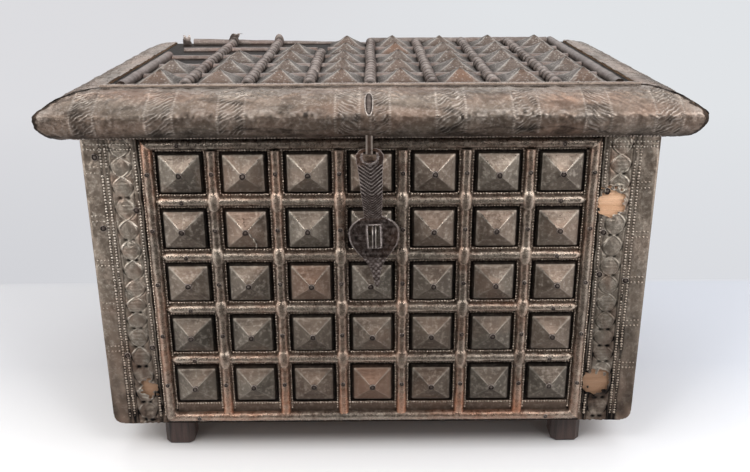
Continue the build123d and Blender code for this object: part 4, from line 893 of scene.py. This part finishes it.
front_panels = ((-236, -220, 1), (-177, -157.5, 1), (-120, -101, 1), (-27, -10, -1), (1, 14, 1),
                (53.3, 74, 1), (113.8, 132, 1), (171, 189, -1), (226.7, 246, 1))
side_panels = [(20 + 62 * k, 38 + 62 * k, 1 if k % 2 else -1) for k in range(5)]
moulding("front_moulding_skin", 0, side_x, front_panels, 100, "lid_front_rail_sheet")
moulding("left_moulding_skin", -1, 158.0, side_panels, 130, "lid_left_rail_sheet")
moulding("right_moulding_skin", 1, 158.0, side_panels, 160, "lid_right_rail_sheet")

slope = math.radians(-64.0)
slope_c, slope_s = math.cos(slope), math.sin(slope)
under_face = flat_face((0, front_y - (under[0] + under_r * slope_c), under[1] + under_r * slope_s),
                       (1, 0, 0), (0, slope_s, slope_c), (0, -slope_c, slope_s))
under_beads = Piece()
add_beads(under_beads, under_face, (-238, 0), (238, 0), 2.7, 1.1, -0.5, 88, wear=0.8)
under_beads.build("moulding_underside_beads", moulding_metal, "lid")


# ---------------------------------------------------------------- lid panel
def ringed(t, length):
    """Turned rings along a rib, a broad and a narrow one by turns."""
    phase = (t / 14.55) % 1.0
    ring = np.exp(-(((phase - 0.40) / 0.15) ** 4)) + 0.75 * np.exp(-(((phase - 0.80) / 0.09) ** 4))
    return 0.68 + 0.48 * unit(ring)


def bent_up(t, length):
    return 1 + 0.62 * unit((t - (length - 14.0)) / 14.0) ** 1.5


def crushed(t, length):
    return 1.0 - 0.74 * t / length


lid_centres = [(c - (lid_columns - 1) / 2) * lid_column_pitch for c in range(lid_columns)]
lid_pyramids = Piece()
for c, x in enumerate(lid_centres):
    for r in range(lid_rows):
        if (c, r) in lost_bosses:
            continue
        rng = random.Random(900 + c * 10 + r)
        # Copper tint strongest on the face towards the front, slight on the sides: a reflection colour
        # painted by facing.
        tint = 0.55 if r == 0 else 0.3
        if (c, r) in ((5, 0), (4, 3)):
            tint = 1.0
        add_boss(lid_pyramids, LID, x, lid_mid_y + (r - 2) * lid_row_pitch, 41.0, 48.0, 0.8, 12.6, 1.2,
                 300 + c * 10 + r, (tint, 0.08, 0.2, 0.08), (rng.uniform(-1.5, 1.5), rng.uniform(-1.5, 1.5)),
                 dent=0.6, soft=0.955, lower=1.0, shade=0.8, sag=0.9, spread=0.13, under_side=0.12)
lid_pyramids.build("lid_pyramids", lid_metal, "lid", "lid_bosses")

long_ribs = Piece()
rib_front, rib_back = lid_front_y + 0.25, lid_back_y - 5.0
broken_ends = {0: rib_back - 1.6, 1: rib_back - 1.6, 2: shift_y + 53.0}
for k in range(lid_columns - 1):
    x = (k - 3) * lid_column_pitch
    add_rib(long_ribs, LID, (x, rib_front), (x, broken_ends.get(k, rib_back)), 9.4, lid_rib_h, radii=ringed,
            heights=bent_up if k < 2 else None, step=0.9, seed=200 + k, copper=0.06, wobble=0.45, worn_and_highlit=0.3,
            shade=0.8)
long_ribs.build("lid_ringed_ribs", lid_rib_metal, "lid", "lid_long_ribs")

lid_frame = Piece()
frame_x = lid_columns / 2 * lid_column_pitch
for n, (start, end, looks) in enumerate((
        ((frame_x, rib_front), (frame_x, lid_back_y + 4.8), dict(copper=0.08, worn_and_highlit=0.1, shade=0.9)),
        ((-frame_x, rib_front), (-frame_x, shift_y + 40.0), dict(copper=0.15, worn_and_highlit=0.1, shade=0.9)),
        ((0.4, lid_back_y), (frame_x - 5.0, lid_back_y), dict(copper=0.05, worn_and_highlit=0.2)),
        ((-frame_x + 5.0, lid_back_y), (-0.4, lid_back_y), dict(copper=0.1, heights=crushed)))):
    add_rib(lid_frame, LID, start, end, lid_rib_w, lid_rib_h, seed=301 + n, **looks)
lid_frame.build("lid_edge_ribs", lid_rib_metal, "lid", "lid_frame_ribs")

slats = Piece()
for c, x in enumerate(lid_centres):
    for r in range(lid_rows - 1):
        y = lid_mid_y + (r - 1.5) * lid_row_pitch
        add_rib(slats, LID, (x - 20.4, y), (x + 20.4, y), 7.0, 4.0, seed=400 + c * 4 + r, copper=0.15)
slats.build("lid_slats", lid_rib_metal, "lid", "lid_cross_slats")

# Torn flaps: place, half width, height, how far each curls and how far it turns aside.
flaps = Piece()
flap_y = lid_back_y - 6.0
up_share, side_share = np.linspace(0, 1, 9)[:, None], np.linspace(-1, 1, 9)[None, :]
torn = ((-frame_x - 1.5, panel_top, 5.2, 11.5, 2.0, 0.0),
        (-3 * lid_column_pitch, panel_top + 4.0, 5.6, 9.0, 3.2, 7.0))
for n, (x, z, half, tall, curl, aside) in enumerate(torn):
    ragged = waves(640 + n, 8, 0.6, 2.5)(side_share * 2, up_share * 2)
    notch = tall * (1 - 0.30 * unit(np.cos(side_share * 3.1 + n) - 0.2))
    u = x + side_share * half * (1 - 0.28 * up_share) + aside * up_share ** 2 + 0.5 * ragged
    v = flap_y - curl * np.sin(math.pi * up_share * 0.8) - 0.9 * np.abs(side_share) ** 2 + 0.4 * ragged
    w = z + notch * (up_share if aside == 0 else np.sin(math.pi * 0.62 * up_share) / 0.96)
    edge_wear = unit(0.15 + 0.6 * (up_share > 0.85) + 0.4 * (np.abs(side_share) > 0.9))
    for depth in (0.0, 0.7):
        flaps.grid(np.stack([u, v + depth, w], axis=-1), edge_wear, 0.1, 0.12, flip=depth > 0)
flaps.build("torn_sheet", lid_rib_metal, "lid", "torn_flaps")

lip = Piece()
lip_half, lip_y = 222.6, front_y + 15.0
run = np.linspace(-lip_half, lip_half, 420)[:, None]
bend = 0.45 * waves(505, 10, 12.0, 90.0)(run, 0 * run)
strip_y = np.array([-3.0, -2.9, -2.2, -0.7, 0.7, 2.2, 2.9, 3.0])[None, :]
strip_z = np.array([0.0, 1.3, 2.0, 2.2, 2.2, 2.1, 1.4, 0.0])[None, :]
crumpled = 0.22 * waves(506, 16, 3.0, 14.0)(run, strip_y)
# Painted shade along both edges, where the strip meets the rail.
edge_shade = np.tile([1.0, 0.5, 0.1, 0.0, 0.0, 0.1, 0.6, 1.0], len(run))
lip.grid(place(RAIL_TOP, run, lip_y + strip_y + bend, np.maximum(strip_z + crumpled * (strip_z > 0.5), 0.0)),
         0.15, edge_shade, 0.28)
for offset, base, seed in ((-4.4, -0.3, 501), (-1.3, 1.8, 502), (1.3, 1.8, 503)):
    add_beads(lip, RAIL_TOP, (-lip_half, lip_y + offset), (lip_half, lip_y + offset), 2.1, 0.85, base, seed,
              wear=0.8, copper=0.2)
lip.build("lid_front_bead", moulding_metal, "lid", "lid_front_lip")


# ---------------------------------------------------------------- hasp
hasp_top, hasp_tip, hasp_half_thick = -1.3, 120.5, 1.3
eye, slot, eye_half, slot_half = (1.3, 9.9), (64.7, 84.1), 5.3, 5.1
# Distance down and half width: rounded head, tapering shank, broad disc, pointed tail.
half_widths = ((-1.3, 0.8), (-1.0, 5.0), (0.6, 8.6), (4.7, 11.6), (9.0, 11.3), (14.5, 10.4), (30.0, 9.3),
               (57.0, 7.35), (59.6, 12.6), (63.0, 17.6), (68.0, 21.0), (72.0, 21.5), (77.0, 20.9),
               (82.7, 18.9), (88.5, 14.8), (94.9, 9.4), (101.0, 5.6), (108.0, 3.6), (115.0, 2.4),
               (120.5, 1.4))
edge_shares = (0.0, 0.05, 0.12, 0.24, 0.36, 0.48, 0.60, 0.72, 0.86, 1.0)
hole_shares = (-0.78, -0.56, -0.34, -0.12, 0.12, 0.34, 0.56, 0.78)
hole_first, hole_last = len(edge_shares) - 1, len(edge_shares) + len(hole_shares)
drops = np.unique(np.concatenate([np.linspace(hasp_top, hasp_tip, 330), eye, slot]))
widths = np.interp(drops, *zip(*half_widths))
pits = waves(700, 12, 3.0, 9.0)
hasp_piece = Piece()


def hasp_place(h, t, out):
    """A point on the hasp: h to the right, t down from its pivot, out from its middle plane."""
    c, s = math.cos(hasp_lean), math.sin(hasp_lean)
    return (hasp_x + h * c + t * s, hasp_y - out, hasp_z + h * s - t * c)


def holed(t):
    return any(low < t < high for low, high in (eye, slot))


def chasing(h, t):
    """Height, wear and grime of the chasing: a herringbone shank, a pitted disc and a scaly tail."""
    if 12.5 < t < 58:
        coarse = t < 38
        phase = ((t + abs(h) * 0.8) / (3.1 if coarse else 2.1)) % 1.0
        bar = math.exp(-(((phase - 0.5) / (0.17 if coarse else 0.2)) ** 2))
        return 0.5 * bar - 0.16, (0.75 if coarse else 0.3) * bar, 0.85 * (1 - bar)
    if 60 < t < 94:
        lump = float(pits(h, t))
        return 0.12 * lump, 0.16 * max(0.0, lump), 0.66 + 0.3 * max(0.0, -lump)
    if t >= 94:
        lump = math.sin(t * 1.35) * math.cos(h * 1.5)
        return 0.3 * lump, 0.10 + 0.55 * max(0.0, lump), 0.45 * max(0.0, -lump)
    return 0.0, 0.0, 0.15


def hasp_side(outward):
    """The front face of the hasp, or the back face where outward is -1."""
    rows, wear, grime_and_shade = [], [], []
    for t, half in zip(drops, widths):
        base = min(eye_half if t < 40 else slot_half, half * 0.62)
        left = [-half + (half - base) * k for k in edge_shares]
        line = left + [base * k for k in hole_shares] + [-h for h in left[::-1]]
        for n, h in enumerate(line):
            edge = min(n, len(line) - 1 - n)
            height, shine, dirt_and_shade = chasing(h, t) if edge >= 1 else (0.0, 0.0, 0.15)
            lift = hasp_half_thick * outward + height * outward
            beside_slot = abs(abs(h) - slot_half) < 0.9 and slot[0] - 0.9 < t < slot[1] + 0.9
            slot_end = abs(h) < 6 and any(abs(t - end) < 1.0 for end in slot)
            round_eye = abs(math.hypot(h / 6.9, (t - 5.8) / 6.0) - 1.0) < 0.13 and t > 2.5
            if beside_slot or slot_end:
                shine, dirt_and_shade = 0.8, 0.0
                lift += 0.25 * outward
            if round_eye:
                shine, dirt_and_shade = 0.7, 0.0
                lift += 0.25 * outward
            if edge <= 1:
                shine, dirt_and_shade = (0.6 if 58 < t < 96 else 0.4), 0.0
            if edge == 0:
                lift = hasp_half_thick * outward * 0.72
            rows.append(hasp_place(h, t, lift))
            wear.append(shine)
            grime_and_shade.append(dirt_and_shade)
    start = hasp_piece.points(rows, wear, grime_and_shade, 0.08)
    index = start + np.arange(len(rows)).reshape(len(drops), -1)
    quads = []
    for i, t in enumerate((drops[:-1] + drops[1:]) / 2):
        for j in range(index.shape[1] - 1):
            if not (holed(t) and hole_first <= j < hole_last):
                corners = [index[i, j], index[i, j + 1], index[i + 1, j + 1], index[i + 1, j]]
                quads.append(corners[::-1] if outward > 0 else corners)
    hasp_piece.faces.append(quads)
    return index


front_index, back_index = hasp_side(1), hasp_side(-1)
last_column = front_index.shape[1] - 1
walls = []
for i, t in enumerate((drops[:-1] + drops[1:]) / 2):
    edges = [(0, False), (last_column, True)]
    if holed(t):
        edges += [(hole_first, True), (hole_last, False)]
    for j, turned in edges:
        corners = [front_index[i, j], front_index[i + 1, j], back_index[i + 1, j], back_index[i, j]]
        walls.append(corners[::-1] if turned else corners)
whole_width, hole_width = range(last_column), range(hole_first, hole_last)
for level, span, turned in ((hasp_top, whole_width, False), (hasp_tip, whole_width, True),
                            (eye[0], hole_width, True), (eye[1], hole_width, False),
                            (slot[0], hole_width, True), (slot[1], hole_width, False)):
    i = int(np.argmin(np.abs(drops - level)))
    for j in span:
        corners = [front_index[i, j], back_index[i, j], back_index[i, j + 1], front_index[i, j + 1]]
        walls.append(corners[::-1] if turned else corners)
hasp_piece.faces.append(walls)
hasp_piece.build("hasp_plate", hasp_iron, "hasp", "hasp")

# ---------------------------------------------------------------- clench plate on the moulding's slope
even, section = profile(400)


def on_moulding(u, arc, rise):
    """Point on the front moulding at a distance round its profile, raised outwards."""
    s, z, ns, nz = (np.interp(arc, even, section[:, k]) for k in range(4))
    return np.stack([hasp_x + u, front_y - (s + ns * rise), z + nz * rise], axis=-1)


plate = Piece()
turns = np.linspace(0, 2 * math.pi, 48, endpoint=False)
oval = np.abs(np.cos(turns)) ** 0.75 * np.sign(np.cos(turns))
rings = []
# From the rim inwards: share, height, wear, grime; the dark ring in the hollow and the plate's foot are
# painted shade.
for share, level, shine, dirt_and_shade in ((1.0, -0.4, 0.2, 0.6), (0.98, 0.6, 0.8, 0.0), (0.88, 1.1, 1.0, 0.0),
                                  (0.76, 0.8, 0.7, 0.0), (0.66, 0.25, 0.0, 1.0), (0.45, 0.55, 0.05, 0.5),
                                  (0.15, 0.75, 0.12, 0.3)):
    half_long = (13.6 - (1 - share) * 4.6) * (1 if share > 0.2 else 0.8)
    rings.append((on_moulding(3.7 * share * np.sin(turns), 35.4 + half_long * oval, level), shine, dirt_and_shade))
plate.rings(rings, 0.1)
plate.build("clench_plate_rim", nail_iron, "lid", "hasp_clench_plate")

# ---------------------------------------------------------------- solids that stay, with finished surfaces
for finish, node_names in (
        # The field sheet and the lid's panel sheet are painted near black as shade.
        (shade_black_metal, ("front_field_sheet", "lid_panel_sheet")),
        (border_metal, ("left_side_sheet", "right_side_sheet")),
        (bare_wood, ("front_board",)),
        (inner_wood, ("left_board", "right_board", "bottom_board", "lid_board", "lid_back_batten")),
        (back_wood, ("back_board", "lid_front_rail", "lid_left_rail", "lid_right_rail")),
        (foot_wood, [f"foot_{end}_{side}" for end in ("front", "back") for side in ("left", "right")]),
        (hanger_iron, ("hasp_hanger",)),
        (staple_iron, ("lock_staple",)),
        (hasp_iron, ("hasp_clench_plate", "hinge_pins",
                     *(f"{body}_hinge_{side}" for body in ("body", "lid") for side in ("left", "right")))),
        (nail_iron, ("body_hinge_nails", "lid_hinge_nails", "carcass_nails"))):
    for node_name in node_names:
        for material_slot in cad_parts[node_name].material_slots:
            material_slot.material = finish

# ---------------------------------------------------------------- floor, light and camera
floor_mesh = bpy.data.meshes.new("floor")
floor_mesh.from_pydata([(-6, -4, 0), (6, -4, 0), (6, 6, 0), (-6, 6, 0)], [], [(0, 1, 2, 3)])
floor = bpy.data.objects.new("floor", floor_mesh)
scene.collection.objects.link(floor)
floor_material = bpy.data.materials.new("floor_paint")
n = Nodes(floor_material, "Material")
x, y, _ = n.split()
off_middle = n.math("ABSOLUTE", x)
in_view = n.add("LightPath").outputs["Is Camera Ray"]
# The floor in view is painted paler towards the front and bluer to the right: painted light falloff.
far_paint = n.blend(n.ramp(x, -0.3, 0.4), (0.665, 0.67, 0.695), (0.66, 0.69, 0.755))
seen_paint = n.blend(n.ramp(y, -0.32, 0.02), (0.985, 0.985, 0.985), far_paint)
# A painted shadow on the floor under the front edge of the chest.
painted_shadow = n.times(n.ramp(y, -0.148, -0.118), n.ramp(off_middle, 0.235, 0.17, 0.0, 0.7))
seen_paint = n.blend(painted_shadow, seen_paint, (0.10, 0.085, 0.08))
# Seen only in reflections and bounce light: the floor in front of the chest is dark, a painted shade for the
# faces that look down.
aside = n.ramp(n.plus(off_middle, n.times(y, 0.95)), -0.18, 0.03)
pale_zone = n.math("MAXIMUM", n.ramp(y, -0.27, -0.19), aside)
reflected_shade_paint = n.blend(pale_zone, (0.05, 0.045, 0.04), (0.78, 0.78, 0.79))
paint = n.add("BsdfDiffuse", {"Color": n.blend(in_view, reflected_shade_paint, seen_paint)})
# Behind and beside the chest the floor glows as the backdrop, with painted light falloff: darker near the
# chest and to the left.
near_wall = n.blend(n.ramp(x, -0.5, 0.6), (0.645, 0.65, 0.68), (0.71, 0.725, 0.76))
far_wall = n.blend(n.ramp(x, -0.8, 0.8), (0.72, 0.72, 0.745), (0.755, 0.775, 0.80))
wall = n.add("Emission", {"Color": n.blend(n.ramp(y, 0.26, 1.4), near_wall, far_wall), "Strength": 1.0})
behind = n.times(n.ramp(y, 0.250, 0.262), in_view)
outside = n.times(n.ramp(n.math("MAXIMUM", off_middle, n.times(y, -0.75)), 0.55, 1.1), in_view)
n.finish(n.add("MixShader", {"Fac": n.math("MAXIMUM", behind, outside), 1: paint.outputs["BSDF"],
                             2: wall.outputs["Emission"]}))
floor_mesh.materials.append(floor_material)

world = bpy.data.worlds.new("studio")
scene.world = world
n = Nodes(world, "World")
_, y, z = n.split("Generated")
frontal = n.ramp(n.times(y, -1.0), 0.1, 0.85)
strength = n.times(n.ramp(z, -0.1, 0.7, 0.22, 0.42), n.ramp(frontal, 0.0, 1.0, 1.0, 0.22))
ambient = n.add("Background", {"Color": (0.95, 0.96, 1.0), "Strength": strength})
seen = n.add("Background", {"Color": (0.73, 0.74, 0.77), "Strength": 1.0})
n.finish(n.add("MixShader", {"Fac": n.add("LightPath").outputs["Is Camera Ray"],
                             1: ambient.outputs["Background"], 2: seen.outputs["Background"]}))

for name, location, target, size, power, colour in (
        ("top_box", (0.0, 0.1, 1.75), (0, 0, 0.2), (1.6, 1.0), 10, (1.0, 0.985, 0.96)),
        ("left_box", (-1.35, -0.45, 0.65), (0, -0.05, 0.18), (1.0, 1.1), 11, (1.0, 0.985, 0.96)),
        ("right_box", (1.35, -0.45, 0.65), (0, -0.05, 0.18), (1.0, 1.1), 11, (1.0, 0.985, 0.97)),
        ("left_front", (-0.75, -1.05, 1.30), (0, -0.15, 0.18), (0.6, 0.5), 8, (1.0, 0.985, 0.96)),
        ("right_front", (0.75, -1.05, 1.30), (0, -0.15, 0.18), (0.6, 0.5), 8, (1.0, 0.985, 0.97)),
        ("left_strip", (-0.755, -1.23, 0.66), (0, -0.15, 0.18), (0.12, 0.4), 2.4, (1.0, 0.99, 0.97)),
        ("right_strip", (0.755, -1.23, 0.66), (0, -0.15, 0.18), (0.12, 0.4), 2.4, (1.0, 0.99, 0.98)),
        ("back_box", (0.0, 1.5, 1.1), (0, 0, 0.3), (1.8, 0.7), 5, (1, 1, 1))):
    light = bpy.data.lights.new(name, "AREA")
    light.shape = "RECTANGLE"
    light.size, light.size_y = size
    light.energy, light.color = power, colour
    lamp = bpy.data.objects.new(name, light)
    scene.collection.objects.link(lamp)
    lamp.location = location
    lamp.visible_camera = False
    lamp.rotation_euler = (Vector(target) - Vector(location)).to_track_quat("-Z", "Y").to_euler()

pitch, yaw, roll = 0.346, 0.004, 0.005
camera_place = Vector((0.00024, (shift_y - 847.9) * MM, 0.4631))
forward = Vector((math.sin(yaw) * math.cos(pitch), math.cos(yaw) * math.cos(pitch), -math.sin(pitch)))
right = forward.cross(Vector((0, 0, 1))).normalized()
up = right.cross(forward).normalized()
camera_up = (up * math.cos(roll) + right * math.sin(roll)).normalized()
camera_right = forward.cross(camera_up).normalized()
camera_data = bpy.data.cameras.new("camera")
camera_data.lens = 40.99
camera_data.sensor_width = 36.0
camera_data.clip_start = 0.02
camera = bpy.data.objects.new("camera", camera_data)
scene.collection.objects.link(camera)
camera_turn = Matrix((camera_right, camera_up, -forward)).transposed().to_4x4()
camera.matrix_world = Matrix.Translation(camera_place) @ camera_turn
scene.camera = camera
scene.view_settings.view_transform = "Standard"
